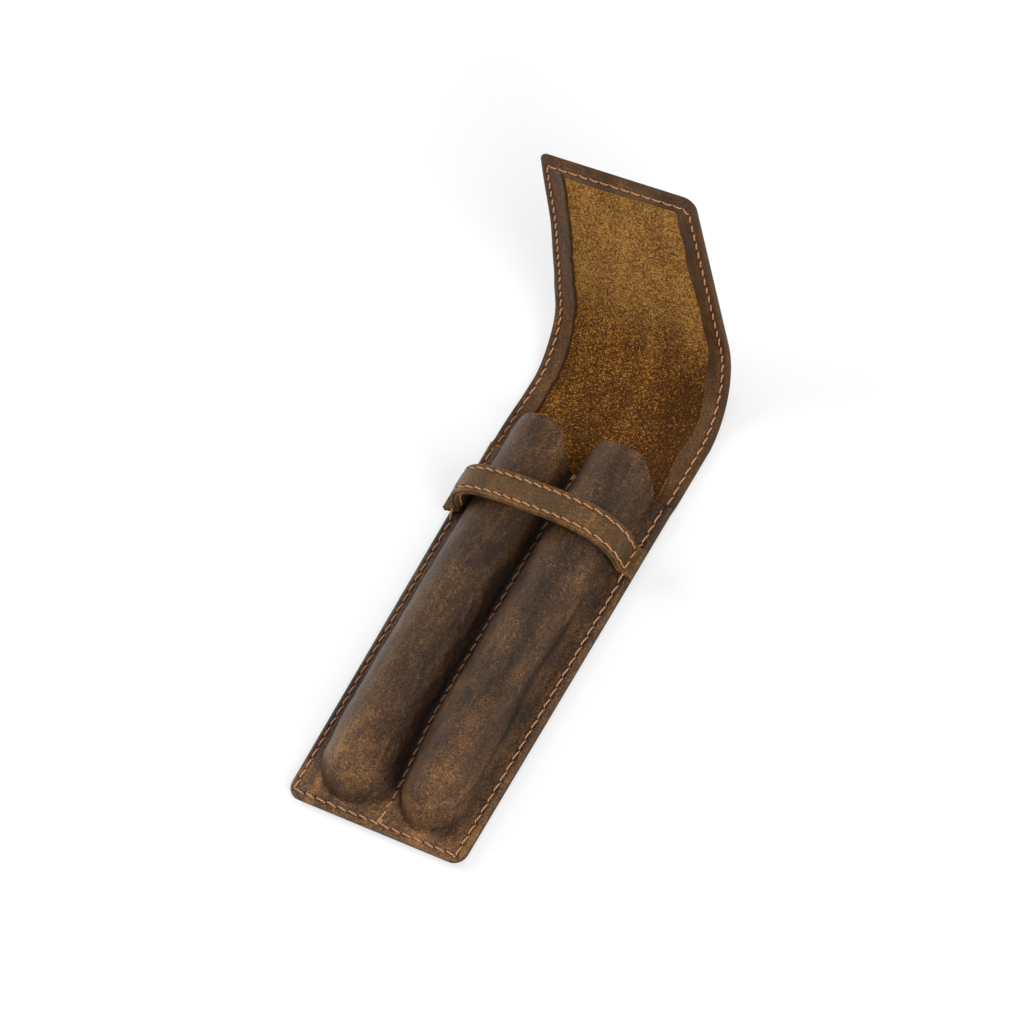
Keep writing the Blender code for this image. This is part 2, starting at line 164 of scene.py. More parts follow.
add_lamp("left_lamp", (-1.15, 0.10, 0.75), (0.0, 0.0, 0.0), (0.7, 0.9), 13.0, 0.35)
add_lamp("right_lamp", (1.05, -0.45, 0.85), (0.0, 0.02, 0.0), (0.7, 0.9), 19.5, 1.7)
add_lamp("top_lamp", (0.1, 0.5, 1.6), (0.0, 0.0, 0.0), (1.0, 1.0), 8.0, 0.5)

world = bpy.data.worlds.new("studio")
bpy.context.scene.world = world
world.use_nodes = True
fill_in(world.node_tree.nodes["Background"], {"Color": (1.0, 1.0, 1.0, 1.0), "Strength": 0.17})
bpy.context.scene.view_settings.view_transform = "Standard"

# %% [markdown]
# Leather is worked flat, so every place on the long leather has three flat measures: how far across
# it is, how far along from the bottom edge, and how high above the underside. One function then
# carries a flat place to the pouch, where the flap is curled up through five equal bends. The
# flap's left edge swings out and in by a millimetre, as hand-cut leather does. Seams, turned edges
# and colour are all laid out flat, which is how a leather worker marks them.

# %% Say how the flat leather lies on the pouch
HALF_FOOT = 0.0288
HALF_FOLD = 0.0305
HALF_TIP = 0.02475
BODY_END = 0.1421
BEND_STEP = 0.0066
BENDS = 5
BEND_END = BODY_END + BENDS * BEND_STEP
LEATHER_END = 0.2311
REST_TURN = math.radians(15.7)
BACK_MIDDLE = 0.0006
CURL_RADIUS = BEND_STEP / 2 / math.tan(REST_TURN / 2)
TIP_SLANT = 0.0006
SWING_REACH = 0.028
SWINGS = ((0.0010, 0.142, 0.011), (0.0009, 0.205, 0.014), (-0.0006, 0.174, 0.006))


def hump(values, centre, spread):
    """1 at the centre, falling off softly to 0 on both sides."""
    return np.exp(-((values - centre) / spread) ** 2)


def half_width(along):
    body = HALF_FOOT + (HALF_FOLD - HALF_FOOT) * np.clip(along / BODY_END, 0, 1)
    flap_share = np.clip((along - BODY_END) / (LEATHER_END - BODY_END), 0, 1)
    return body + (HALF_TIP - HALF_FOLD) * flap_share


def swing(across, along):
    """How far to the right the left edge swings at a place."""
    shift = sum(depth * hump(along, middle, length) for depth, middle, length in SWINGS)
    return shift * np.clip(-across / SWING_REACH, 0, 1) ** 2


def turned_by(along):
    """How far the curled leather has turned at a place."""
    return np.clip((along - BODY_END) / BEND_STEP, 0, BENDS) * REST_TURN


def rolled(across, along, height):
    """Carries flat places to the pouch, as an array of points."""
    across = across + swing(across, along)
    blade_share = np.clip((along - BEND_END) / (LEATHER_END - BEND_END), 0, 1)
    along = along + TIP_SLANT * across / HALF_TIP * blade_share
    turn = turned_by(along)
    reach = CURL_RADIUS - (height - BACK_MIDDLE)
    beyond = np.maximum(along - BEND_END, 0)
    y = foot_y + np.minimum(along, BODY_END) + reach * np.sin(turn) + beyond * np.cos(turn)
    z = BACK_MIDDLE + CURL_RADIUS - reach * np.cos(turn) + beyond * np.sin(turn)
    return np.stack([across + 0 * y, y, z], axis=-1)


# %% [markdown]
# A seam is a row of holes. The edge seam runs round the whole pouch at a steady distance from the
# edge, the centre seam runs up between the tubes. We list the holes flat, once. The leather is
# later pressed down along them, and the stitches are laid from hole to hole.

# %% Mark the holes of the seams
SIDE_INSET = 0.0022
FOOT_INSET = 0.0019
TIP_INSET = 0.0033
PANEL_END = 0.1204
BODY_PITCH = 0.0035
FLAP_PITCH = 0.0033
CORNER_CUT = (0.0020, 0.0018)
CENTRE_START = 0.0032
CENTRE_STOP = PANEL_END - 0.0026


def row_of_holes(first, last, pitch):
    """Evenly spaced holes on a straight line between two flat places, ends included."""
    first, last = np.array(first), np.array(last)
    count = max(round(float(np.linalg.norm(last - first)) / pitch), 1)
    return first + (last - first) * np.linspace(0, 1, count + 1)[:, None]


def side_holes(sign, start, end, pitch):
    holes = row_of_holes((0.0, start), (0.0, end), pitch)
    holes[:, 0] = sign * (half_width(holes[:, 1]) - SIDE_INSET)
    return holes


tip_line = LEATHER_END - TIP_INSET
body_left, body_right = [side_holes(sign, FOOT_INSET, BODY_END, BODY_PITCH) for sign in (-1, 1)]
bend_left, bend_right = [side_holes(sign, BODY_END, BEND_END, FLAP_PITCH) for sign in (-1, 1)]
blade_left = side_holes(-1, BEND_END, tip_line, FLAP_PITCH)
blade_right = side_holes(1, BEND_END, tip_line - CORNER_CUT[1], FLAP_PITCH)
foot_holes = row_of_holes(body_left[0], body_right[0], BODY_PITCH)
tip_right_start = (blade_right[-1][0] - CORNER_CUT[0], tip_line)
tip_holes = row_of_holes(blade_left[-1], tip_right_start, FLAP_PITCH)
corner_holes = np.array([blade_right[-1], tip_right_start])
edge_rows = [body_left, body_right, bend_left, bend_right, blade_left, blade_right, foot_holes,
             tip_holes]
edge_holes = np.concatenate(edge_rows)
centre_row = row_of_holes((0.0, CENTRE_START), (0.0, CENTRE_STOP), BODY_PITCH)
print(len(edge_holes), "holes round the edge,", len(centre_row), "on the centre line")

# %% [markdown]
# To press the leather down along a seam, each of its points asks how near the closest hole is, and
# how near the line of the thread is. A k-d tree answers that quickly. A hole is a small deep pit,
# the line is a shallow groove.

# %% Measure how near a place is to the seams
LINE_STEP = 0.00035
PIT_REACH = 0.00042
GROOVE_REACH = 0.00060
GROOVE_DEPTH = 0.00026


def nearness(places, across, along, reach):
    """1 on the given flat places, falling off to 0 over the reach."""
    tree = kdtree.KDTree(len(places))
    for index, place in enumerate(places):
        tree.insert((place[0], place[1], 0.0), index)
    tree.balance()
    flat = np.stack([np.ravel(across), np.ravel(along)], axis=1)
    gaps = np.array([tree.find((a, b, 0.0))[2] for a, b in flat])
    return hump(gaps, 0, reach).reshape(np.shape(across))


def line_points(holes):
    """Places every third of a millimetre along a row of holes."""
    return np.concatenate([row_of_holes(a, b, LINE_STEP) for a, b in zip(holes[:-1], holes[1:])])


edge_lines = np.concatenate([line_points(row) for row in edge_rows + [corner_holes]])
print(len(edge_lines), "places on the thread's line")

# %% [markdown]
# Leather is never quite even. A slow random wave moves edges and surfaces a little; we take it from
# Blender's own noise, so that it is the same in every run.

# %% Make slow waves
FULL_SWING = 1.6


def noise_at(*measures):
    """Smooth random values between about -1 and 1, one for each place in three arrays."""
    grids = np.broadcast_arrays(*measures)
    flat = [noise.noise(Vector(spot)) for spot in zip(*[grid.ravel() for grid in grids])]
    return np.array(flat).reshape(grids[0].shape) * FULL_SWING


def wave(values, length, seed):
    """A wave with humps about a length apart."""
    return noise_at(values / length, seed * 7.31, seed * 1.7)


def ripple(across, along, size, seed):
    """The same over a surface."""
    return noise_at(across / size, along / size, seed * 5.77)


def rise(values):
    """A soft step from 0 to 1."""
    share = np.clip(values, 0, 1)
    return share * share * (3 - 2 * share)


def roundness(distance, radius):
    """How far a rounded edge has come up at a distance in from it."""
    share = 1 - np.clip(distance / radius, 0, 1)
    return np.sqrt(np.clip(1 - share * share, 0, 1))


# %% [markdown]
# Nobody sews quite straight. The front leather was pulled sideways while it was sewn down: its
# centre seam starts to the right of the middle and runs to the left of it further up, and the left
# tube went with it. We lay the front leather out straight and let each place drift at the end.

# %% Let the front leather drift
SEAM_START = 0.0014
SEAM_SHIFT = 0.0029
LEFT_SHIFT = 0.0015
DRIFT_REACH = 0.0215
STILL_MARGIN = 0.0258


def drift(across, along):
    """How far sideways a place of the front leather went, least at the margins."""
    seam = SEAM_START - SEAM_SHIFT * rise((along - 0.002) / 0.040)
    left = -LEFT_SHIFT * rise((along - 0.008) / 0.025)
    near_seam = rise(1 - np.abs(across) / DRIFT_REACH)
    near_left = rise(-across / DRIFT_REACH)
    near_left = near_left * rise((across + STILL_MARGIN) / (STILL_MARGIN - DRIFT_REACH))
    return seam * near_seam + left * near_left


centre_holes = np.stack([drift(centre_row[:, 0], centre_row[:, 1]), centre_row[:, 1]], axis=1)
print("the centre seam wanders from", round(centre_holes[0][0] * 1000, 1), "to",
      round(centre_holes[-1][0] * 1000, 1), "mm")

# %% [markdown]
# Every leather here is a sheet with two sides. By hand it is a grid that is extruded once, so that
# it has a top, an underside and a wall round its border. A grid comes evenly spaced, so its points
# are then slid to where the leather really is. Where both sides meet in a rounded edge their
# borders fall together, and merging by distance closes the sheet.

# %% Make a two-sided sheet
def make_sheet(name, under, over, notes):
    """A closed sheet between two arrays of points. Notes are values that its points remember."""
    rows, columns = over.shape[:2]
    deselect()
    bpy.ops.mesh.primitive_grid_add(x_subdivisions=columns - 1, y_subdivisions=rows - 1, size=2.0)
    piece = bpy.context.object
    piece.name = name
    bpy.ops.object.mode_set(mode="EDIT")
    bpy.ops.mesh.select_all(action="SELECT")
    bpy.ops.mesh.extrude_region_move(TRANSFORM_OT_translate={"value": (0.0, 0.0, 1.0)})
    bpy.ops.object.mode_set(mode="OBJECT")
    mesh = piece.data
    spots = np.empty(len(mesh.vertices) * 3)
    mesh.vertices.foreach_get("co", spots)
    spots = spots.reshape(-1, 3)
    column = np.rint((spots[:, 0] + 1) / 2 * (columns - 1)).astype(int)
    row = np.rint((spots[:, 1] + 1) / 2 * (rows - 1)).astype(int)
    top = spots[:, 2] > 0.5
    placed = np.where(top[:, None], over[row, column], under[row, column])
    mesh.vertices.foreach_set("co", placed.ravel())
    for note, (low, high) in notes.items():
        single = low.ndim == 2
        values = np.where(top if single else top[:, None], high[row, column], low[row, column])
        attribute = mesh.attributes.new(note, "FLOAT" if single else "FLOAT_VECTOR", "POINT")
        attribute.data.foreach_set("value" if single else "vector", values.ravel())
    bpy.ops.object.mode_set(mode="EDIT")
    bpy.ops.mesh.select_all(action="SELECT")
    bpy.ops.mesh.remove_doubles(threshold=0.000002)
    bpy.ops.mesh.normals_make_consistent(inside=False)
    bpy.ops.object.mode_set(mode="OBJECT")
    bpy.ops.object.shade_smooth_by_angle(angle=math.radians(50))
    print(name, "has", len(mesh.polygons), "faces")
    return piece


print("sheets can be made")

# %% [markdown]
# Leather, suede and thread each get a node group. All three are sums of patterns of several sizes,
# and a ramp turns the sum into a colour.

# %% Make tools for patterns
def new_group(name, inputs, outputs):
    group = bpy.data.node_groups.new(name, "ShaderNodeTree")
    for label, kind in inputs:
        group.interface.new_socket(label, in_out="INPUT", socket_type=kind)
    for label, kind in outputs:
        group.interface.new_socket(label, in_out="OUTPUT", socket_type=kind)
    return group, group.nodes.new("NodeGroupInput"), group.nodes.new("NodeGroupOutput")


def add_noise(tree, place, scale, detail, roughness, stretch=None, distortion=0.0):
    """A noise texture on the given place socket, stretched if three factors are given."""
    if stretch:
        mapping = add_node(tree, "Mapping", {"Scale": stretch})
        link(place, mapping.inputs["Vector"])
        place = mapping.outputs["Vector"]
    texture = add_node(tree, "TexNoise", {
        "Scale": scale, "Detail": detail, "Roughness": roughness, "Distortion": distortion})
    link(place, texture.inputs["Vector"])
    return texture.outputs["Fac"]


def sum_up(tree, parts, start=0.0):
    """Adds sockets, each with its own weight, to a starting value."""
    total = start
    for socket, weight in parts:
        total = add_math(tree, "MULTIPLY_ADD", socket, weight, total)
    return total


def tone_ramp(tree, factor, stops):
    """Turns a tone into a colour, from stops of position and colour."""
    ramp = add_node(tree, "ValToRGB")
    elements = ramp.color_ramp.elements
    while len(elements) < len(stops):
        elements.new(0.5)
    for element, (position, colour) in zip(elements, stops):
        element.position = position
        element.color = (*colour, 1.0)
    link(factor, ramp.inputs["Fac"])
    return ramp.outputs["Color"]


print("the pattern tools are ready")

# %% [markdown]
# Waxed pull-up leather is dark where the wax lies thick and lighter where it has been bent, rubbed
# or pressed away. The colour is built in layers, from large clouds to fine grain, and two notes on
# the mesh push it: one makes rubbed places lighter and also carries a painted highlight, the other
# is painted shade that darkens the places where shade falls. This is one shader node group that all
# the outer leather shares; it gives out a colour, a roughness and a height.

# %% Build the shared leather group
hide, taken, given = new_group(
    "waxed_hide",
    [("Place", "NodeSocketVector"), ("Wear_and_highlight", "NodeSocketFloat"), ("Shade", "NodeSocketFloat")],
    [("Color", "NodeSocketColor"), ("Roughness", "NodeSocketFloat"), ("Height", "NodeSocketFloat")])
place = taken.outputs["Place"]
clouds = add_noise(hide, place, 95.0, 2.0, 0.5, stretch=(1.0, 0.38, 1.0), distortion=0.5)
patches = add_noise(hide, place, 300.0, 3.0, 0.55, stretch=(1.0, 0.6, 1.0))
grain = add_noise(hide, place, 2100.0, 3.0, 0.75, stretch=(0.6, 1.0, 1.0), distortion=1.4)
rubs = add_noise(hide, place, 420.0, 4.0, 0.65, stretch=(1.0, 0.25, 1.0), distortion=1.2)
warp = add_node(hide, "TexNoise", {"Scale": 500.0})
link(place, warp.inputs["Vector"])
warped = add_node(hide, "VectorMath")
warped.operation = "MULTIPLY_ADD"
warped.inputs[1].default_value = (0.0009, 0.0009, 0.0009)
link(warp.outputs["Color"], warped.inputs[0])
link(place, warped.inputs[2])
pores = add_node(hide, "TexVoronoi", {"Scale": 1300.0})
pores.feature = "DISTANCE_TO_EDGE"
link(warped.outputs[0], pores.inputs["Vector"])
crackle = add_math(hide, "MINIMUM", pores.outputs["Distance"], 0.22)
# the Shade note is painted shade; the wear note also carries a painted highlight
tone = sum_up(hide, [(clouds, 0.75), (patches, 0.30), (grain, 2.20), (rubs, 0.70), (crackle, 0.8),
                     (taken.outputs["Wear_and_highlight"], 0.34), (taken.outputs["Shade"], -0.42)], start=-1.70)
colour = tone_ramp(hide, tone, [
    (0.05, (0.010, 0.005, 0.003)), (0.35, (0.040, 0.019, 0.009)), (0.62, (0.108, 0.049, 0.016)),
    (0.95, (0.300, 0.142, 0.044))])
link(colour, given.inputs["Color"])
shine = sum_up(hide, [(clouds, -0.25), (grain, 0.45), (taken.outputs["Wear_and_highlight"], 0.10)], start=0.28)
link(shine, given.inputs["Roughness"])
relief = sum_up(hide, [(crackle, 0.9), (grain, 0.5), (rubs, 0.7), (patches, 0.6)])
link(relief, given.inputs["Height"])
print("waxed_hide has", len(hide.nodes), "nodes")

# %% [markdown]
# The inside of the flap shows the flesh side of the same hide. It is a short nap of golden fibres
# with dense dark specks, so its colour changes within half a millimetre, and a few streaks run
# along it. A little sheen gives the soft glow of the nap.

# %% Build the suede group
suede, taken, given = new_group(
    "flesh_side",
    [("Place", "NodeSocketVector"), ("Shade", "NodeSocketFloat")],
    [("Color", "NodeSocketColor"), ("Height", "NodeSocketFloat")])
place = taken.outputs["Place"]
specks = add_noise(suede, place, 2400.0, 3.0, 0.8)
tufts = add_noise(suede, place, 1100.0, 3.0, 0.65)
streaks = add_noise(suede, place, 160.0, 3.0, 0.6, stretch=(1.0, 0.22, 1.0), distortion=0.8)
stains = add_noise(suede, place, 60.0, 2.0, 0.5)
tone = sum_up(suede, [(specks, 3.9), (tufts, 1.5), (streaks, 0.45), (stains, 0.30),
                      (taken.outputs["Shade"], -0.46)], start=-2.60)
colour = tone_ramp(suede, tone, [
    (0.08, (0.040, 0.014, 0.003)), (0.36, (0.150, 0.057, 0.009)), (0.60, (0.300, 0.130, 0.021)),
    (0.92, (0.560, 0.300, 0.070))])
link(colour, given.inputs["Color"])
relief = sum_up(suede, [(specks, 1.0), (tufts, 0.8)])
link(relief, given.inputs["Height"])
print("flesh_side has", len(suede.nodes), "nodes")

# %% [markdown]
# The thread is two plies twisted together and waxed. Around a stitch the height rises and falls
# twice, and along it the same wave runs on, which makes a screw. Each stitch remembers where along
# and around the thread its points are.

# %% Build the thread group
ply, taken, given = new_group(
    "twisted_ply",
    [("Place", "NodeSocketVector")],
    [("Color", "NodeSocketColor"), ("Height", "NodeSocketFloat")])
parts = add_node(ply, "SeparateXYZ")
link(taken.outputs["Place"], parts.inputs[0])
angle = add_math(ply, "ARCTAN2", parts.outputs["Z"], parts.outputs["Y"])
screw = add_math(ply, "SINE", sum_up(ply, [(angle, 2.0), (parts.outputs["X"], 6800.0)]))
fibres = add_noise(ply, taken.outputs["Place"], 9000.0, 2.0, 0.6)
tone = sum_up(ply, [(screw, 0.22), (fibres, 0.5)], start=0.25)
colour = tone_ramp(ply, tone, [
    (0.10, (0.150, 0.050, 0.015)), (0.50, (0.380, 0.155, 0.055)), (0.90, (0.740, 0.440, 0.230))])
link(colour, given.inputs["Color"])
relief = sum_up(ply, [(screw, 1.0), (fibres, 0.4)])
link(relief, given.inputs["Height"])
print("twisted_ply has", len(ply.nodes), "nodes")

# %% [markdown]
# A material reads the piece's notes, feeds them to its group, and keeps the shader itself.

# %% Make tools for finishes
def start_finish(name, group, notes):
    """A material whose group reads notes of the mesh; returns its tree, shader and group node."""
    finish = bpy.data.materials.new(name)
    finish.use_nodes = True
    tree = finish.node_tree
    shader = tree.nodes["Principled BSDF"]
    inner = add_node(tree, "Group")
    inner.node_tree = group
    for socket, note in notes.items():
        reader = add_node(tree, "Attribute")
        reader.attribute_name = note
        output = "Vector" if socket == "Place" else "Fac"
        link(reader.outputs[output], inner.inputs[socket])
    link(inner.outputs["Color"], shader.inputs["Base Color"])
    return finish, tree, shader, inner


def add_relief(tree, shader, height, strength, depth):
    bump = add_node(tree, "Bump", {"Strength": strength, "Distance": depth})
    link(height, bump.inputs["Height"])
    link(bump.outputs["Normal"], shader.inputs["Normal"])


def leather_finish(name, tint, amount, gloss):
    """The waxed leather with its own gloss, its colour mixed with some of a tint."""
    finish, tree, shader, inner = start_finish(
        name, hide, {"Place": "flat_place", "Wear_and_highlight": "wear_and_highlight", "Shade": "shade"})
    mix = add_node(tree, "Mix")
    mix.data_type = "RGBA"
    fill_in(mix, {"Factor": amount, "B": (*tint, 1.0)})
    link(inner.outputs["Color"], mix.inputs["A"])
    link(mix.outputs["Result"], shader.inputs["Base Color"])
    link(inner.outputs["Roughness"], shader.inputs["Roughness"])
    shader.inputs["Specular IOR Level"].default_value = gloss
    add_relief(tree, shader, inner.outputs["Height"], 0.9, 0.00036)
    return finish


print("the finish tools are ready")

# %% [markdown]
# The front, the back and the strap are cut from the same hide, and each has its own tint and gloss.
# Suede hardly shines and the thread is a little waxy.

# %% Make the finishes
front_finish = leather_finish("front_leather_waxed", (0.060, 0.031, 0.014), 0.05, 0.24)
back_finish = leather_finish("back_leather_waxed", (0.160, 0.080, 0.030), 0.24, 0.12)
strap_finish = leather_finish("strap_leather_waxed", (0.190, 0.110, 0.040), 0.24, 0.14)

suede_finish, tree, shader, inner = start_finish(
    "flap_suede", suede, {"Place": "flat_place", "Shade": "shade"})
fill_in(shader, {"Roughness": 0.95, "Specular IOR Level": 0.05, "Sheen Weight": 0.04})
add_relief(tree, shader, inner.outputs["Height"], 0.8, 0.00022)

thread_finish, tree, shader, inner = start_finish("thread_waxed", ply, {"Place": "ply_place"})
shader.inputs["Roughness"].default_value = 0.5
add_relief(tree, shader, inner.outputs["Height"], 0.7, 0.00006)
print("finishes:", front_finish.name, back_finish.name, strap_finish.name, suede_finish.name,
      thread_finish.name)

# %% [markdown]
# The long leather is turned in on all its edges: the edge is skived thin, folded over and sewn
# down. That makes a soft round edge, a band about seven millimetres wide, and inside it the suede,
# one leather lower. On the left the turned band ends in a blunt cut with two small nicks; on the
# right and at the tip it was pared, so it thins out into the suede.

# %% Shape the turned edges
BACK_THICK = 0.0012
TURNED_THICK = 0.0009
TURNED_WIDTH = 0.0070
FOOT_CORNER = 0.0040
TIP_CORNERS = (0.0016, 0.0040)
BORDER_RADIUS = 0.00175
THINNER_BORDER = 0.0007
PARED_START = 0.0040
PARED_WIDTH = 0.0027


def drawn_in(along, side):
    """How far a rounded corner draws the outline in."""
    low = np.clip(FOOT_CORNER - along, 0, FOOT_CORNER)
    radius = TIP_CORNERS[side]
    high = np.clip(along - (LEATHER_END - radius), 0, radius)
    return (FOOT_CORNER - np.sqrt(FOOT_CORNER ** 2 - low ** 2)
            + radius - np.sqrt(np.clip(radius ** 2 - high ** 2, 0, None)))


def inside(across, along):
    """Distance in from the outline, rounded corners included."""
    side = half_width(along) - np.abs(across)
    end = np.minimum(along, LEATHER_END - along)
    radius = np.where(along < LEATHER_END / 2, FOOT_CORNER,
                      np.where(across < 0, TIP_CORNERS[0], TIP_CORNERS[1]))
    cut = radius - np.hypot(radius - side, radius - end)
    return np.where((side < radius) & (end < radius), cut, np.minimum(side, end))


def edge_radius(along):
    """Half the height of the rounded edge: thick with the front leather on it, thin on the flap."""
    return BORDER_RADIUS - THINNER_BORDER * rise((along - 0.1185) / 0.004)


def pared(distance):
    """Thickness of a pared turned edge at a distance in from the outline."""
    thinning = 1 - 0.75 * rise((distance - PARED_START) / PARED_WIDTH)
    return TURNED_THICK * thinning * (distance < TURNED_WIDTH)


def turned_thickness(across, along):
    """What the turned edges add over the back: blunt on the left, pared on the other three."""
    blunt = TURNED_THICK * (half_width(along) + across < TURNED_WIDTH)
    gaps = (half_width(along) - across, LEATHER_END - along, along)
    return np.maximum.reduce([blunt] + [pared(gap) for gap in gaps])


CUT_LINE = 0.00705
EDGE_STEPS = [0.0, 0.00006, 0.0002, 0.00045, 0.0008, 0.00125, 0.0017, 0.0022, 0.0027, 0.0033,
              0.0041, 0.0050, 0.0058, 0.0064, 0.00695, CUT_LINE, 0.0074, 0.0080]
print("the turned band ends", TURNED_WIDTH * 1000, "mm in from the edge")

# %% [markdown]
# Rows and columns of the sheet are closer near the edges, where the shape turns, and each hole of
# the seam has a row of its own. The inner border of the turned edges isn't straight, so the columns
# are moved a little, and two nicks are cut on the left.

# %% Lay out the long leather's columns
NICKS = ((0.0007, 0.1905, 0.0010), (0.0006, 0.1800, 0.0008))


def columns_across(along):
    """Across measures of one row's columns."""
    steps = np.array(EDGE_STEPS)
    left_edge = -half_width(along) + drawn_in(along, 0)
    right_edge = half_width(along) - drawn_in(along, 1)
    middle = np.linspace(left_edge + steps[-1], right_edge - steps[-1], 62)[1:-1]
    return np.concatenate([left_edge + steps, middle, right_edge - steps[::-1]])


def wobble(across, along):
    """Moves flat places near the inner border of the turned edges."""
    left = half_width(along) + across
    right = half_width(along) - across
    nicks = sum(depth * hump(along, middle, length) for depth, middle, length in NICKS)
    near_tip = hump(LEATHER_END - along, TURNED_WIDTH, 0.0012)
    sway = 0.0004 * wave(along, 0.011, 1.0) + 0.00018 * wave(along, 0.0025, 2.0)
    shift = hump(left, TURNED_WIDTH, 0.0007) * (sway - nicks)
    shift = shift - hump(right, TURNED_WIDTH, 0.0012) * 0.0008 * wave(along, 0.013, 3.0)
    return across + shift, along + near_tip * 0.0006 * wave(across, 0.012, 4.0)


print("a row has", len(columns_across(0.0)), "places")

# %% [markdown]
# The top is the lower of two forms, the turned edge and the round of the border, pressed in along
# the seam. The underside is round at the border too. The notes make the border and the cut edge
# dark, paint shade into the holes and the seam's groove, paint shade on the suede under the tubes
# and paint a shadow on it in the curl, deepest on the right.

# %% Make a stretch of the long leather
EDGE_WEAR = 0.0011
NAP_START = 0.0071
SEAM_SEEN_FROM = 0.115
MOUTH_SHADE_TO = 0.128
CURL_SHADE_FROM = 0.150


def cut_leather(name, rows):
    """A stretch of the long leather between its first and last row."""
    flat_x = np.array([columns_across(row) for row in rows])
    flat_s = np.repeat(np.array(rows)[:, None], flat_x.shape[1], axis=1)
    distance = inside(flat_x, flat_s)
    radius = edge_radius(flat_s)
    turned = turned_thickness(flat_x, flat_s)
    pit = nearness(edge_holes, flat_x, flat_s, PIT_REACH)
    groove = nearness(edge_lines, flat_x, flat_s, GROOVE_REACH)
    uneven = 0.00006 * ripple(flat_x, flat_s, 0.004, 5.0) * (distance > 0.001)
    hem_top = BACK_THICK + turned + uneven
    bulge = radius + radius * roundness(distance, radius)
    dip = (GROOVE_DEPTH * groove + 0.00030 * pit) * (flat_s > SEAM_SEEN_FROM)
    over = np.minimum(hem_top, bulge) - dip
    under = radius - radius * roundness(distance, radius) + 0.00030 * groove + 0.00025 * pit
    over = np.maximum(over, under)
    x, s = wobble(flat_x, flat_s)
    nap = (distance > NAP_START) & (turned < 0.0001)
    seen_edge = hump(distance, 0, EDGE_WEAR)
    cut_line = hump(half_width(flat_s) + flat_x, CUT_LINE, 0.00012)
    # painted shade in the holes and along the seam's groove; the cut line of the turned band is
    # drawn dark
    shade_over = np.clip(1.5 * pit + 0.55 * groove * (distance < 0.004) + 1.3 * cut_line, 0, 1.6)
    # painted shade on the suede under the tubes, and a painted shadow in the curl, deeper on the
    # right
    shade_under_tubes = 0.9 * rise((MOUTH_SHADE_TO - flat_s) / 0.012)
    to_right = rise((flat_x - 0.002) / 0.016)
    out_of_curl = rise((flat_s - CURL_SHADE_FROM) / (0.040 - 0.010 * to_right))
    curl_shadow = (0.70 + 0.50 * to_right) * (1 - out_of_curl)
    shade_over = np.where(nap, np.maximum(shade_under_tubes, curl_shadow), shade_over + 0.4 * shade_under_tubes)
    worn_over = 0.14 - 0.45 * seen_edge + 0.25 * ripple(flat_x, flat_s, 0.006, 6.0)
    worn_under = 0.10 - 0.30 * seen_edge
    notes = {
        "flat_place": (np.stack([x, s, under], -1), np.stack([x, s, over], -1)),
        "inward": (0 * distance - 1, distance),
        "wear_and_highlight": (worn_under, worn_over),
        "shade": (1.3 * pit + 0.5 * groove, shade_over)}
    piece = make_sheet(name, rolled(x, s, under), rolled(x, s, over), notes)
    piece.data.materials.append(back_finish)
    piece.data.materials.append(suede_finish)
    inward = np.array([point.value for point in piece.data.attributes["inward"].data])
    for face in piece.data.polygons:
        face.material_index = int(inward[list(face.vertices)].mean() > TURNED_WIDTH)
    piece.data.attributes.remove(piece.data.attributes["inward"])
    return piece


print("its edges are dark for", EDGE_WEAR * 1000, "mm")

# %% [markdown]
# The leather is made in seven pieces, a stiff one for the back, five that bend, and the flap's
# blade, because each bend has its own joint. They meet exactly.

# %% Cut the long leather
low_rows = [step for step in EDGE_STEPS if step < FOOT_INSET]
high_rows = [LEATHER_END - step for step in reversed(EDGE_STEPS) if step < TIP_INSET]
root_rows = low_rows + list(np.linspace(FOOT_INSET, BODY_END, 161))
blade_rows = list(np.linspace(BEND_END, tip_line, 65)) + high_rows
back = cut_leather("back_leather", root_rows)
blade = cut_leather("flap_leather", blade_rows)
bends = []
for index in range(BENDS):
    start = BODY_END + index * BEND_STEP
    bend_rows = list(np.linspace(start, start + BEND_STEP, 9))
    bends.append(cut_leather(f"bend_leather_{index + 1}", bend_rows))

# %% [markdown]
# The back rides on the pouch's body, the blade on the flap. The bends only have their placement
# baked into their meshes; they ride on no body.


def bend_with(piece):
    """Bakes a piece's placement into its mesh; it does not bend it."""
    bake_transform(piece)


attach(back, "body")
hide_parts("back_panel")
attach(blade, "flap")
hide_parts("flap_blade")
for index, bend in enumerate(bends):
    bend_with(bend)
    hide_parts(f"flap_strip_{index + 1}" if index < BENDS - 1 else "flap_blade")
print("the long leather is", 2 + len(bends), "pieces")

# %% [markdown]
# The front leather was wetted and pressed over two round formers, so it rises from flat margins
# into two tubes with closed round toes. Between them it lies on the back, where the centre seam
# holds it. At the mouth each tube ends in a rounded tongue. A half circle with a soft fillet at its
# foot gives the section of a tube; the toe is the same curve taken round a point.

# %% Shape the front leather
FRONT_THICK = 0.0013
MARGIN_UNDER = 0.00212
VALLEY_UNDER = 0.00122
TUBE_UNDER_TOP = 0.0129
FILLET_START = 0.93
FILLET_DEPTH = math.sqrt(1 - FILLET_START ** 2)
FILLET_END = FILLET_START + 2 * FILLET_DEPTH ** 2 / FILLET_START
HALF_VALLEY = 0.0010
SIDE_MARGIN = 0.0049
TOE_MARGIN = 0.0041
TUBE_RADIUS = (HALF_FOOT - SIDE_MARGIN - HALF_VALLEY) / 2 / FILLET_END
TUBE_CENTRE = HALF_VALLEY + TUBE_RADIUS * FILLET_END
TOE_CENTRE = TOE_MARGIN + TUBE_RADIUS * FILLET_END
TONGUE_RISE = 0.0085
TONGUE_FLAT = 0.0045
OUTER_FALL = 0.0085
INNER_FALL = 0.0055
BAND_SLOPE = 0.0030


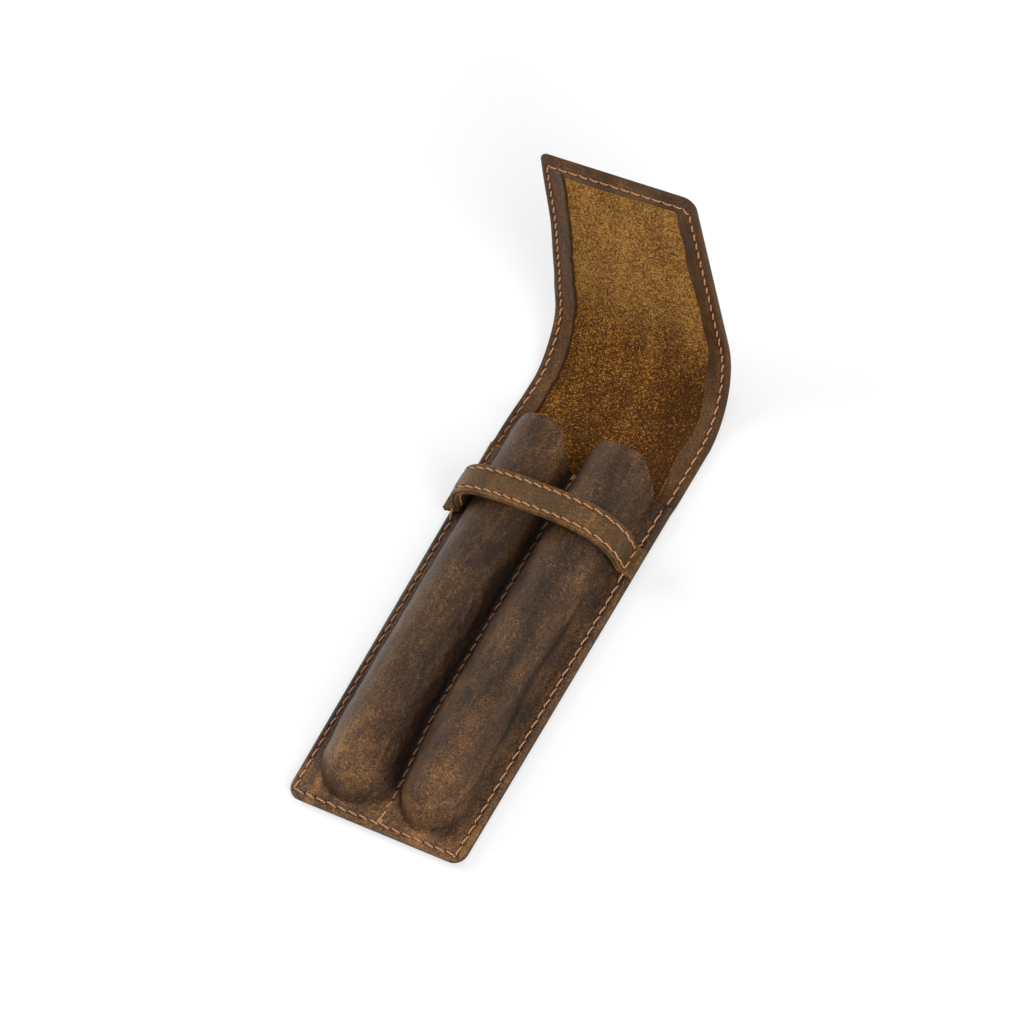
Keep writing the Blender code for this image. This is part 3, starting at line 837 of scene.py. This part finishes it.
def tube_distance(across, along):
    """Distance from a tube's spine or toe centre, in tube radii."""
    below = np.maximum(TOE_CENTRE - along, 0)
    return np.hypot(np.abs(across) - TUBE_CENTRE, below) / TUBE_RADIUS


def tube_share(distance):
    """Height of a tube's section, 1 on its spine and 0 at its foot."""
    share = np.clip((FILLET_END - distance) / (FILLET_END - FILLET_START), 0, 1)
    circle = np.sqrt(np.clip(1 - distance ** 2, 0, 1))
    return np.where(distance <= FILLET_START, circle, FILLET_DEPTH * share * share)


def front_under(across, along):
    to_band = np.minimum(half_width(along) - TURNED_WIDTH - np.abs(across), along - TURNED_WIDTH)
    base = MARGIN_UNDER - (MARGIN_UNDER - VALLEY_UNDER) * rise(to_band / BAND_SLOPE)
    return base + (TUBE_UNDER_TOP - base) * tube_share(tube_distance(across, along))


def panel_end(across):
    """How far up the front leather reaches, with a tongue on each tube."""
    offset = np.abs(across) - TUBE_CENTRE
    fall = np.where(offset > 0, OUTER_FALL, INNER_FALL)
    return PANEL_END + TONGUE_RISE * (1 - rise((np.abs(offset) - TONGUE_FLAT) / fall))


print("tube radius", round(TUBE_RADIUS * 1000, 2), "mm, toes end",
      round((TOE_CENTRE - TUBE_RADIUS) * 1000, 1), "mm above the bottom edge")

# %% [markdown]
# Pressed leather keeps the marks of the work: puckers beside the centre seam, long creases on the
# tubes' inner flanks, folds round the toes where the leather had to shrink, and a slow unevenness
# all over. Each is a small wave that is only let through where it belongs.

# %% Add the creases of the moulding
FULL_TURN = 2 * math.pi
PUCKER = 0.00010
CREASE = 0.00013
TOE_FOLD = 0.00012
FOOT_FOLD = 0.00028
FOLD_LINE = 0.0212
PUCKER_LINE = 0.0022
CREASE_LINE = -0.0048
CREASE_WIDTH = 0.00135


def between(along, start, stop, slope):
    """0 outside two places along the pouch and 1 well inside them."""
    return rise((along - start) / slope) * rise((stop - along) / 0.02)


def foot_fold(across, along):
    """1 on the long fold at the right tube's foot, 0 away from it."""
    line = FOLD_LINE + 0.0005 * wave(along, 0.016, 15.0)
    return hump(across, line, 0.00030) * between(along, 0.022, 0.092, 0.02)


def creases(across, along):
    """Height of the moulding marks above the smooth form."""
    distance = tube_distance(across, along)
    slow = (0.00016 * ripple(across, along, 0.011, 11.0)
            + 0.00006 * ripple(across, along, 0.0045, 12.0))
    beside_seam = hump(np.abs(across), PUCKER_LINE, 0.0014) * rise((along - 0.006) / 0.004)
    pitch = centre_row[1][1] - centre_row[0][1]
    puckers = beside_seam * np.cos(FULL_TURN * (along - centre_row[0][1]) / pitch + math.pi)
    flank = hump(across, CREASE_LINE, 0.0022) * between(along, 0.012, 0.098, 0.012)
    bent = across / CREASE_WIDTH + 2.6 * ripple(across * 0.3, along * 0.22, 0.004, 13.0)
    toe = rise((TOE_CENTRE - along) / 0.006) * hump(np.abs(across), 0.006, 0.005)
    around = distance / 0.16 + 0.5 * ripple(across, along, 0.006, 14.0)
    folds = toe * hump(distance, 1.02, 0.13) * np.sin(FULL_TURN * around)
    return (slow * (np.abs(across) < half_width(along) - 0.0040) + PUCKER * puckers
            + CREASE * flank * np.sin(FULL_TURN * bent) + TOE_FOLD * folds
            - FOOT_FOLD * foot_fold(across, along))


print("a pucker is", PUCKER * 1000, "mm high")

# %% [markdown]
# The sheet's columns are spaced evenly along the curved section, not across the flat, so that the
# steep sides of the tubes get as many points as their tops. Above the strap the rows spread out
# towards the tongues' rims.

# %% Space the front leather's points
def run_lengths(path):
    """Lengths from the start of a path to each of its points."""
    return np.concatenate([[0.0], np.cumsum(np.hypot(*np.diff(path, axis=0).T))])


SECTION_EDGE = 0.0044
SECTION_ALONG = 0.0974
MOUTH_START = 0.1089

front_steps = np.array([0.00004, 0.0001, 0.00025, 0.0005, 0.00085, 0.0013, 0.00175, 0.0022, 0.0027,
                        0.0032, 0.0038])
section_half = HALF_FOOT - SECTION_EDGE
section_x = np.linspace(-section_half, section_half, 3001)
section_z = front_under(section_x, np.full(section_x.shape, SECTION_ALONG))
section_length = run_lengths(np.stack([section_x, section_z], 1))
even_x = np.interp(np.linspace(0.0, section_length[-1], 119), section_length, section_x)
middle_share = even_x / section_half * (1 - 0.0006 / section_half)

front_rows = [step for step in front_steps if step < FOOT_INSET]
front_rows += [row for row in root_rows if FOOT_INSET <= row < MOUTH_START]
mouth_share = 1 - (1 - np.linspace(0.0, 1.0, 30)) ** 1.15
mouth_share = np.concatenate([mouth_share[1:-1], [0.985, 0.994, 1.0]])

flat_x = []
for row in front_rows + [MOUTH_START] * len(mouth_share):
    edge = half_width(row) - drawn_in(row, 0)
    middle = middle_share * (edge - front_steps[-1])
    flat_x.append(np.concatenate([-edge + front_steps, middle, edge - front_steps[::-1]]))
flat_x = np.array(flat_x)
flat_s = [np.full(flat_x.shape[1], row) for row in front_rows]
edge_share = flat_x[-1] / half_width(MOUTH_START)
near_edge = rise((np.abs(edge_share) - 0.8) / 0.19)
end = panel_end(edge_share * half_width(PANEL_END))
flat_s = np.array(flat_s + [MOUTH_START + (end - MOUTH_START) * share for share in mouth_share])
for index in range(len(front_rows), len(flat_s)):
    widening = half_width(flat_s[index]) - half_width(MOUTH_START)
    flat_x[index] = flat_x[-1] + np.sign(flat_x[-1]) * widening * near_edge
print("the front leather has", flat_x.shape[0], "rows of", flat_x.shape[1], "places")

# %% [markdown]
# The smooth form is the underside. The leather's middle lies half a thickness over it, with the
# creases added. Both sides come together at the rim and round the border.

# %% Press the front leather
CENTRE_PIT_REACH = 0.00045
CENTRE_GROOVE_REACH = 0.00070
LIP_RADIUS = 0.0006

distance = inside(flat_x, flat_s)
to_end = panel_end(flat_x) - flat_s
marks = creases(flat_x, flat_s)
pit = np.maximum(nearness(edge_holes, flat_x, flat_s, PIT_REACH),
                 nearness(centre_row, flat_x, flat_s, CENTRE_PIT_REACH))
edge_groove = nearness(edge_lines, flat_x, flat_s, GROOVE_REACH)
centre_groove = nearness(line_points(centre_row), flat_x, flat_s, CENTRE_GROOVE_REACH)
smooth = np.stack(
    [flat_x + drift(flat_x, flat_s), foot_y + flat_s, front_under(flat_x, flat_s)], -1)
normals = np.cross(np.gradient(smooth, axis=1), np.gradient(smooth, axis=0))
normals /= np.linalg.norm(normals, axis=2)[..., None]
lip = roundness(to_end, LIP_RADIUS)
half_thick = FRONT_THICK / 2
centre = smooth + normals * (half_thick + marks[..., None])
under = centre - normals * (half_thick * lip)[..., None]
press = 0.00030 * edge_groove + 0.00035 * pit + 0.00012 * centre_groove
over = centre + normals * (half_thick * lip - press)[..., None]
border = BORDER_RADIUS + BORDER_RADIUS * roundness(distance, BORDER_RADIUS)
near_border = distance < BORDER_RADIUS
over[..., 2] = np.where(near_border, np.minimum(over[..., 2], border - press), over[..., 2])
on_border = distance < 0.00005
over[on_border] = under[on_border]
print("it stands", round(float(over[..., 2].max()) * 1000, 1), "mm high")

# %% [markdown]
# Hands and table have rubbed the toes, the tongues' rims and the rounded edge lighter, and the
# tubes' spines are a little lighter too. A thin painted highlight runs along the left tube's left
# rim, where light falls on its steep flank. Painted shade darkens the valley between the tubes,
# the right tube's inner flank, the foot of the tubes, the long fold at the right tube's foot, the
# holes, the seam's grooves and the underside. These are notes on the mesh that the leather group
# reads.

# %% Note the wear on the front leather
radii = tube_distance(flat_x, flat_s)
spine = hump(np.abs(flat_x), TUBE_CENTRE, 0.0065)
toe_wear = rise((0.030 - flat_s) / 0.020) * np.clip(tube_share(radii) * 1.3, 0, 1)
rim_wear = np.exp(-to_end / 0.0012)
# painted highlight: a thin light line on the left tube's left rim
left_rim_highlight = hump(flat_x, -TUBE_CENTRE - TUBE_RADIUS * 0.93, EDGE_WEAR)
foot_wear = rise((0.020 - flat_s) / 0.012) * rise((radii - 1.05) / 0.10)
wear_and_highlight = (0.60 * toe_wear + 0.6 * rim_wear + 0.25 * hump(distance, 0, EDGE_WEAR) + 1.0 * left_rim_highlight
        + 0.55 * foot_wear + 0.16 * ripple(flat_x, flat_s, 0.016, 21.0) + 0.14 * spine)
# painted shade in the valley between the tubes and on the right tube's inner flank
valley = hump(flat_x, -0.0012, 0.0024) + 0.55 * hump(flat_x, 0.0042, 0.0026)
# painted shade in the holes and grooves, at the tubes' foot, in the valley and in the fold at the
# right tube's foot
shade = (1.4 * pit + 0.55 * edge_groove + 0.3 * hump(radii, 1.12, 0.10)
         + 0.9 * valley * rise((flat_s - 0.008) / 0.01) + 0.9 * foot_fold(flat_x, flat_s))
# the underside is given painted shade all over
notes = {
    "flat_place": (under, over),
    "wear_and_highlight": (0 * wear_and_highlight, wear_and_highlight),
    "shade": (0.6 + 0 * shade, shade)}
front = make_sheet("front_leather", under, over, notes)
front.data.materials.append(front_finish)
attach(front, "body")
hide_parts("pocket_panel")

# %% [markdown]
# The strap is two bands sewn together: a lining and an outer band. It springs from a flat foot on
# each margin, turns up in a small bend and arches well clear of both tubes, so that the flap's tip
# can be tucked under it. Its path is a flattened arch, which we sample evenly.

# %% Lay out the strap's arch
STRAP_LOW = 0.0967
STRAP_WIDE = 0.0094
FOOT_UNDER = 0.0035
FOOT_BEND = 0.0026
FOOT_PROUD = 0.0010
TUBE_WALL = 0.0012
TUBE_TOP = 0.0141
LEG_CLEAR = 0.0023
STRAP_LEG = TUBE_CENTRE + TUBE_RADIUS + TUBE_WALL + LEG_CLEAR
LOW_TOP = TUBE_TOP + 0.0058
HIGH_TOP = TUBE_TOP + 0.0056
ARCH_POWER = 2 / 3.1
STRAP_STATIONS = 181


def arch(top_height):
    """The strap's underside from its left foot to its right one, evenly sampled."""
    reach = half_width(STRAP_LOW + STRAP_WIDE / 2) + FOOT_PROUD
    spring = FOOT_UNDER + FOOT_BEND
    climb = top_height - spring
    turn = np.linspace(0.0, math.pi / 2, 24)
    foot = np.stack([-STRAP_LEG - FOOT_BEND * (1 - np.sin(turn)),
                     spring - FOOT_BEND * np.cos(turn)], 1)
    turn = np.linspace(0.0, math.pi / 2, 160)[1:]
    leg = np.stack([-STRAP_LEG * np.cos(turn) ** ARCH_POWER,
                    spring + climb * np.sin(turn) ** ARCH_POWER], 1)
    half = np.concatenate([[[-reach, FOOT_UNDER]], foot, leg])
    half[-1, 0] = 0.0
    whole = np.concatenate([half, half[-2::-1] * [-1, 1]])
    length = run_lengths(whole)
    even = np.linspace(0.0, length[-1], STRAP_STATIONS)
    return np.stack([np.interp(even, length, whole[:, 0]), np.interp(even, length, whole[:, 1])], 1)


def smoothed(path, rounds):
    """Evens out small kinks in a path, ends kept."""
    for _ in range(rounds):
        path[1:-1] = (path[:-2] + 2 * path[1:-1] + path[2:]) / 4
    return path


low_arch = smoothed(arch(LOW_TOP), 8)
high_arch = smoothed(arch(HIGH_TOP), 8)
arch_length = run_lengths(low_arch)
print("the strap is", round(arch_length[-1] * 1000, 1), "mm long over its arch")

# %% [markdown]
# A point on the strap is found from three measures: its station along the arch, how far up its
# width it is, and how far out from the underside. The strap bows a little, its feet are drawn down.

# %% Find places on the strap
FOOT_BOW = 0.0014


def along_arch(station, values):
    return np.interp(station, np.arange(STRAP_STATIONS), values)


def strap_point(station, up, out):
    """Points on the strap for arrays of station, distance up its width and distance out."""
    share = up / STRAP_WIDE
    x, z = [along_arch(station, low_arch[:, axis]) * (1 - share)
            + along_arch(station, high_arch[:, axis]) * share for axis in (0, 1)]
    slope = np.gradient(low_arch, axis=0) + np.gradient(high_arch, axis=0)
    slope /= np.linalg.norm(slope, axis=1)[:, None]
    slope_x, slope_z = [along_arch(station, slope[:, axis]) for axis in (0, 1)]
    y = foot_y + STRAP_LOW + up - FOOT_BOW * (np.abs(x) / 0.03) ** 4
    return np.stack([x - out * slope_z, y, z + out * slope_x], axis=-1)


print("the strap's middle is at", np.round(strap_point(90.0, STRAP_WIDE / 2, 0.0) * 1000, 1), "mm")

# %% [markdown]
# The strap has a seam along each of its long sides. Its columns follow the arch, and its rows are
# closer at the edges, where the bands are round.

# %% Set out the strap's holes, columns and rows
STRAP_INSET = 0.0014
STRAP_LINES = (STRAP_INSET, STRAP_WIDE - STRAP_INSET)
STRAP_ENDS = 0.0042
STRAP_PITCH = 0.0032
STATION_STEP = arch_length[-1] / (STRAP_STATIONS - 1)

sewn = (STRAP_ENDS, arch_length[-1] - STRAP_ENDS)
strap_holes = np.interp(np.linspace(*sewn, round((sewn[1] - sewn[0]) / STRAP_PITCH) + 1),
                        arch_length, np.arange(STRAP_STATIONS))
end_steps = np.array([0.0, 0.12, 0.35, 0.7])
stations = np.concatenate([end_steps, np.linspace(1.0, STRAP_STATIONS - 2.0, 177),
                           STRAP_STATIONS - 1 - end_steps[::-1]])
width_steps = np.array([0.0, 0.00005, 0.00018, 0.0004, 0.0007, 0.0010, 0.00125, 0.0015, 0.0018,
                        0.0022])
ups = np.concatenate([width_steps, np.linspace(0.0028, STRAP_WIDE - 0.0028, 10),
                      STRAP_WIDE - width_steps[::-1]])
print("the strap has", len(strap_holes), "holes in a row and", stations.size * ups.size, "places")

# %% [markdown]
# Each band is a sheet of its own. It is pressed in along its two seams, rounded at its edges and
# rubbed light there. Its holes and grooves get painted shade, and painted shade darkens its inner
# side all over.

# %% Make the strap's two bands
BAND_OUTER = 0.00245
BAND_ROUND = 0.00055
BAND_GROOVE_REACH = 0.00055


def make_band(name, inner, outer, seam_press):
    """One layer of the strap between two distances out from the arch."""
    station, up = np.meshgrid(stations, ups)
    along = station * STATION_STEP
    to_edge = np.minimum(up, STRAP_WIDE - up)
    to_tip = np.minimum(station, STRAP_STATIONS - 1 - station) * STATION_STEP
    middle, half = (inner + outer) / 2, (outer - inner) / 2
    edge = roundness(np.minimum(to_edge, to_tip), BAND_ROUND)
    holes = [(spot * STATION_STEP, line) for spot in strap_holes for line in STRAP_LINES]
    lines = [(place, line) for place in np.arange(*sewn, LINE_STEP) for line in STRAP_LINES]
    pit = nearness(holes, along, up, PIT_REACH)
    groove = nearness(lines, along, up, BAND_GROOVE_REACH)
    uneven = 0.00007 * ripple(along, up, 0.008, 31.0)
    press = seam_press * (GROOVE_DEPTH * groove + 0.00034 * pit)
    under = strap_point(station, up, middle - half * edge + uneven)
    over = strap_point(station, up, middle + half * edge + uneven - press)
    flat = np.stack([along, up, 0 * up], axis=-1)
    rub = (0.75 * np.exp(-to_edge / 0.0011) + 0.25 * np.exp(-to_tip / 0.003)
           + 0.22 * ripple(along, up, 0.009, 32.0))
    # painted shade in the holes and grooves; the inner side gets painted shade all over
    dark = 1.3 * pit + 0.5 * groove
    notes = {
        "flat_place": (flat - [0, 0, half], flat + [0, 0, half]),
        "wear_and_highlight": (0.9 * np.exp(-to_edge / 0.0008), rub),
        "shade": (0.5 + 0 * dark, dark)}
    piece = make_sheet(name, under, over, notes)
    piece.data.materials.append(strap_finish)
    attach(piece, "body")
    return piece


lining = make_band("strap_lining_leather", 0.00002, 0.00112, 0.0)
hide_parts("strap_lining")
outer_band = make_band("strap_outer_leather", 0.00114, BAND_OUTER, 1.0)
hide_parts("strap_outer")

# %% [markdown]
# One stitch is modelled by hand: a six-sided ring, extruded along its length in seven steps, that
# starts inside its hole, comes up, lies on the leather and goes down again. It is a little slanted,
# as a needle and awl leave it. Hundreds of copies follow, so it has only a few dozen faces.

# %% Model one stitch
THREAD_RADIUS = 0.00028
STITCH_SINK = 0.00036
STITCH_STEPS = ((0.05, 0.00016, 1.25), (0.11, 0.00022, 1.14), (0.18, 0.00016, 1.04),
                (0.32, 0.0, 1.0), (0.18, -0.00016, 0.96), (0.11, -0.00022, 0.88),
                (0.05, -0.00016, 0.8))

deselect()
bpy.ops.mesh.primitive_circle_add(vertices=6, radius=THREAD_RADIUS * 0.7, fill_type="NGON",
                                  rotation=(0.0, math.pi / 2, 0.0))
stitch = bpy.context.object
stitch.name = "one_stitch"
bpy.ops.object.transform_apply(location=True, rotation=True, scale=True)
bpy.ops.object.mode_set(mode="EDIT")
bpy.ops.mesh.select_all(action="SELECT")
for forward, upward, size in STITCH_STEPS:
    bpy.ops.mesh.extrude_region_move(TRANSFORM_OT_translate={"value": (forward, 0.0, upward)})
    bpy.ops.transform.resize(value=(size, size, size))
bpy.ops.mesh.select_all(action="SELECT")
bpy.ops.transform.translate(value=(0.0, 0.0, -STITCH_SINK))
bpy.ops.mesh.normals_make_consistent(inside=False)
bpy.ops.object.mode_set(mode="OBJECT")
bpy.ops.object.shade_smooth_by_angle(angle=math.radians(60))
print("one stitch has", len(stitch.data.polygons), "faces")

# %% [markdown]
# To sew, a copy of the stitch is stretched between two holes and set upright on the leather. The
# copy remembers where along and around the thread each point is, for the twist.

# %% Lay a stitch between two holes
SLANT = 0.00028
ring_places, ring_heights, _ = np.cumsum([(0.0, -STITCH_SINK, 0.0), *STITCH_STEPS], axis=0).T


def lay_stitch(start, end, up, seed):
    """A copy of the stitch between two points of a surface that faces up."""
    start, end, up = Vector(start), Vector(end), Vector(up).normalized()
    run = end - start
    forward = run.normalized()
    side = up.cross(forward).normalized()
    up = forward.cross(side)
    copy = bpy.data.objects.new("stitch", stitch.data.copy())
    bpy.context.scene.collection.objects.link(copy)
    along, width, lift = np.array([vertex.co for vertex in stitch.data.vertices]).T
    slant = SLANT * (1 - 2 * along) * (1.0 + 0.25 * math.sin(seed * 2.3))
    ring_mid = np.interp(along, ring_places, ring_heights)
    ply_place = np.stack([along * run.length, width, lift - ring_mid], axis=1)
    points = (np.array(start) + np.outer(0.02 + 0.96 * along, np.array(run))
              + np.outer(width + slant, np.array(side)) + np.outer(lift, np.array(up)))
    copy.data.vertices.foreach_set("co", points.ravel())
    attribute = copy.data.attributes.new("ply_place", "FLOAT_VECTOR", "POINT")
    attribute.data.foreach_set("vector", ply_place.ravel())
    return copy


print("a stitch's rings lie at", np.round(ring_places, 2), "of its length")

# %% [markdown]
# All the stitches of a run are joined into one piece. A hole goes through the leather, so the same
# holes give the stitches of both sides.

# %% Sew along a row of holes
SKIN_TOP = 0.00184
SKIN_UNDER = 0.00030


def join_thread(name, copies):
    """Joins stitches into one named piece of thread."""
    deselect()
    for copy in copies:
        copy.select_set(True)
    bpy.context.view_layer.objects.active = copies[0]
    bpy.ops.object.join()
    piece = bpy.context.object
    piece.name = name
    piece.data.name = name
    piece.data.materials.clear()
    piece.data.materials.append(thread_finish)
    return piece


def sew(points, ups):
    """Stitches from each point to the next."""
    return [lay_stitch(points[i], points[i + 1], np.array(ups[i]) + np.array(ups[i + 1]), i)
            for i in range(len(points) - 1)]


def skin_points(holes, over):
    """Holes of the long leather as points on its upper or lower side, with the way up there."""
    across, along = holes.T
    height = np.full(len(holes), SKIN_TOP if over else SKIN_UNDER)
    turn = turned_by(along)
    sign = 1.0 if over else -1.0
    ups = np.stack([0 * turn, -np.sin(turn), np.cos(turn)], axis=1) * sign
    return rolled(across, along, height), ups


print("the thread lies", SKIN_TOP * 1000, "mm up on the flap")

# %% [markdown]
# The edge seam is sewn through everything at once: on the flap it lies on the turned edge, on the
# body on the front leather's margin, and at the strap it climbs over the foot. The same holes carry
# the stitches of the back, where the thread lies in a groove so that the pouch can lie flat.

# %% Sew the flap
for index in range(BENDS):
    copies = []
    for holes in (bend_left, bend_right):
        run = holes[2 * index:2 * index + 3]
        for over in (True, False):
            copies += sew(*skin_points(run, over))
    piece = join_thread(f"bend_stitches_{index + 1}", copies)
    bend_with(piece)
    if index < BENDS - 1:
        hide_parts(f"strip_seam_left_{index + 1}", f"strip_seam_right_{index + 1}")
for name, holes, node in (("left", blade_left, "flap_seam_left"),
                          ("right", blade_right, "flap_seam_right"),
                          ("tip", tip_holes, "flap_seam_tip"),
                          ("corner", corner_holes, "flap_seam_tip")):
    copies = sew(*skin_points(holes, True)) + sew(*skin_points(holes, False))
    piece = join_thread(f"flap_stitches_{name}", copies)
    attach(piece, "flap")
    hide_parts(node)
print("the flap is sewn")

# %% [markdown]
# On the body the height under the stitch changes from layer to layer, so each run asks a small
# function for the height at its hole.

# %% Sew the body
MARGIN_STITCH = 0.00345 - GROOVE_DEPTH
STRAP_FOOT_STITCH = FOOT_UNDER + BAND_OUTER - 0.00010
FOOT_STITCH_SHIFT = 0.0007
FOOT_START = STRAP_LOW - 0.0014
FOOT_STOP = STRAP_LOW + STRAP_WIDE - 0.0010
PITCH_MORE = BODY_PITCH + 0.0001


def margin_points(holes):
    """Holes on the body's margin as points on whichever layer is on top there."""
    points, ups = [], []
    for across, along in holes:
        if along > PANEL_END + 0.0002:
            height = SKIN_TOP
        elif FOOT_START < along < FOOT_STOP:
            height = STRAP_FOOT_STITCH
            across = across + math.copysign(FOOT_STITCH_SHIFT, across)
        else:
            height = MARGIN_STITCH
        points.append((across + swing(across, along), foot_y + along, height))
        ups.append((0.0, 0.0, 1.0))
    return points, ups


def split_runs(holes):
    """The holes of one side as runs on the margin, the strap's foot, the mouth and the back."""
    strap_end = STRAP_LOW + STRAP_WIDE
    along = holes[:, 1]
    tests = (("lower", along < STRAP_LOW),
             ("foot", (along > STRAP_LOW - PITCH_MORE) & (along < strap_end + PITCH_MORE)),
             ("mouth", (along > strap_end) & (along < PANEL_END)),
             ("top", along > PANEL_END - PITCH_MORE))
    return {name: holes[test] for name, test in tests}


for side, holes in (("left", body_left), ("right", body_right)):
    for run_name, run in split_runs(holes).items():
        piece = join_thread(f"edge_stitches_{side}_{run_name}", sew(*margin_points(run)))
        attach(piece, "body")
        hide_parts(f"edge_seam_{side}_{run_name}")
    piece = join_thread(f"back_stitches_{side}", sew(*skin_points(holes, False)))
    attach(piece, "body")
    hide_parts(f"edge_seam_{side}_lower")
copies = sew(*margin_points(foot_holes)) + sew(*skin_points(foot_holes, False))
piece = join_thread("edge_stitches_foot", copies)
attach(piece, "body")
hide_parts("edge_seam_bottom")
print("the edge is sewn")

# %% [markdown]
# The centre seam lies deep between the tubes. At each end the thread goes back and forth a few
# times, which makes a short thick bar, called a tack.

# %% Sew the centre and its tacks
STITCH_PRESS = 0.00022
STRAND_GAP = 0.00042
HALF_BAR = 0.00075
BAR_SLANT = 0.00015
BAR_LIFT = 0.00030
STEP_LIFT = 0.0003
STEP_PLACE = 0.0078
STEP_REACH = 0.0016


def valley_points(holes):
    across, along = holes.T
    heights = front_under(across, along) + FRONT_THICK - STITCH_PRESS
    heights = heights + STEP_LIFT * hump(along, STEP_PLACE, STEP_REACH)
    points = np.stack([across + drift(across, along), foot_y + along, heights], axis=1)
    return points, [(0.0, 0.0, 1.0)] * len(holes)


piece = join_thread("centre_stitches", sew(*valley_points(centre_row)))
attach(piece, "body")
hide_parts("centre_seam")
piece = join_thread("centre_stitches_back", sew(*skin_points(centre_holes, False)))
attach(piece, "body")
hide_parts("centre_seam")


def make_tack(name, low, high, node):
    """A bar tack between two places on the centre line, of long strands with short ones across."""
    copies = []
    for index, offset in enumerate((-STRAND_GAP, 0.0, STRAND_GAP)):
        holes = np.array([[offset, low], [offset * 0.6, high]])
        points, ups = valley_points(holes)
        copies += sew(points + np.array([0, 0, 0.00012 + 0.00008 * (index == 1)]), ups)
    for along in np.linspace(low + 0.0004, high - 0.0004, 3):
        holes = np.array([[-HALF_BAR, along - BAR_SLANT], [HALF_BAR, along + BAR_SLANT]])
        points, ups = valley_points(holes)
        copies += sew(points + np.array([0, 0, BAR_LIFT]), ups)
    piece = join_thread(name, copies)
    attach(piece, "body")
    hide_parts(node)


make_tack("tack_foot", 0.0020, 0.0036, "centre_tack_bottom")
make_tack("tack_mouth", CENTRE_STOP, PANEL_END - 0.0005, "centre_tack_top")
print("the centre is sewn")

# %% [markdown]
# The strap has a row of stitches along each edge. They join its two layers, so they show on the
# lining as well.

# %% Sew the strap
LINING_PRESS = 0.00012


def strap_seam(name, up, node):
    outside = strap_point(strap_holes, up, BAND_OUTER - STITCH_PRESS)
    within = strap_point(strap_holes, up, LINING_PRESS)
    away = outside - within
    piece = join_thread(name, sew(outside, away) + sew(within, -away))
    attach(piece, "body")
    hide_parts(node)


strap_seam("strap_stitches_lower", STRAP_LINES[0], "strap_seam_lower")
strap_seam("strap_stitches_upper", STRAP_LINES[1], "strap_seam_upper")
bpy.data.objects.remove(stitch, do_unlink=True)
print("the strap is sewn")
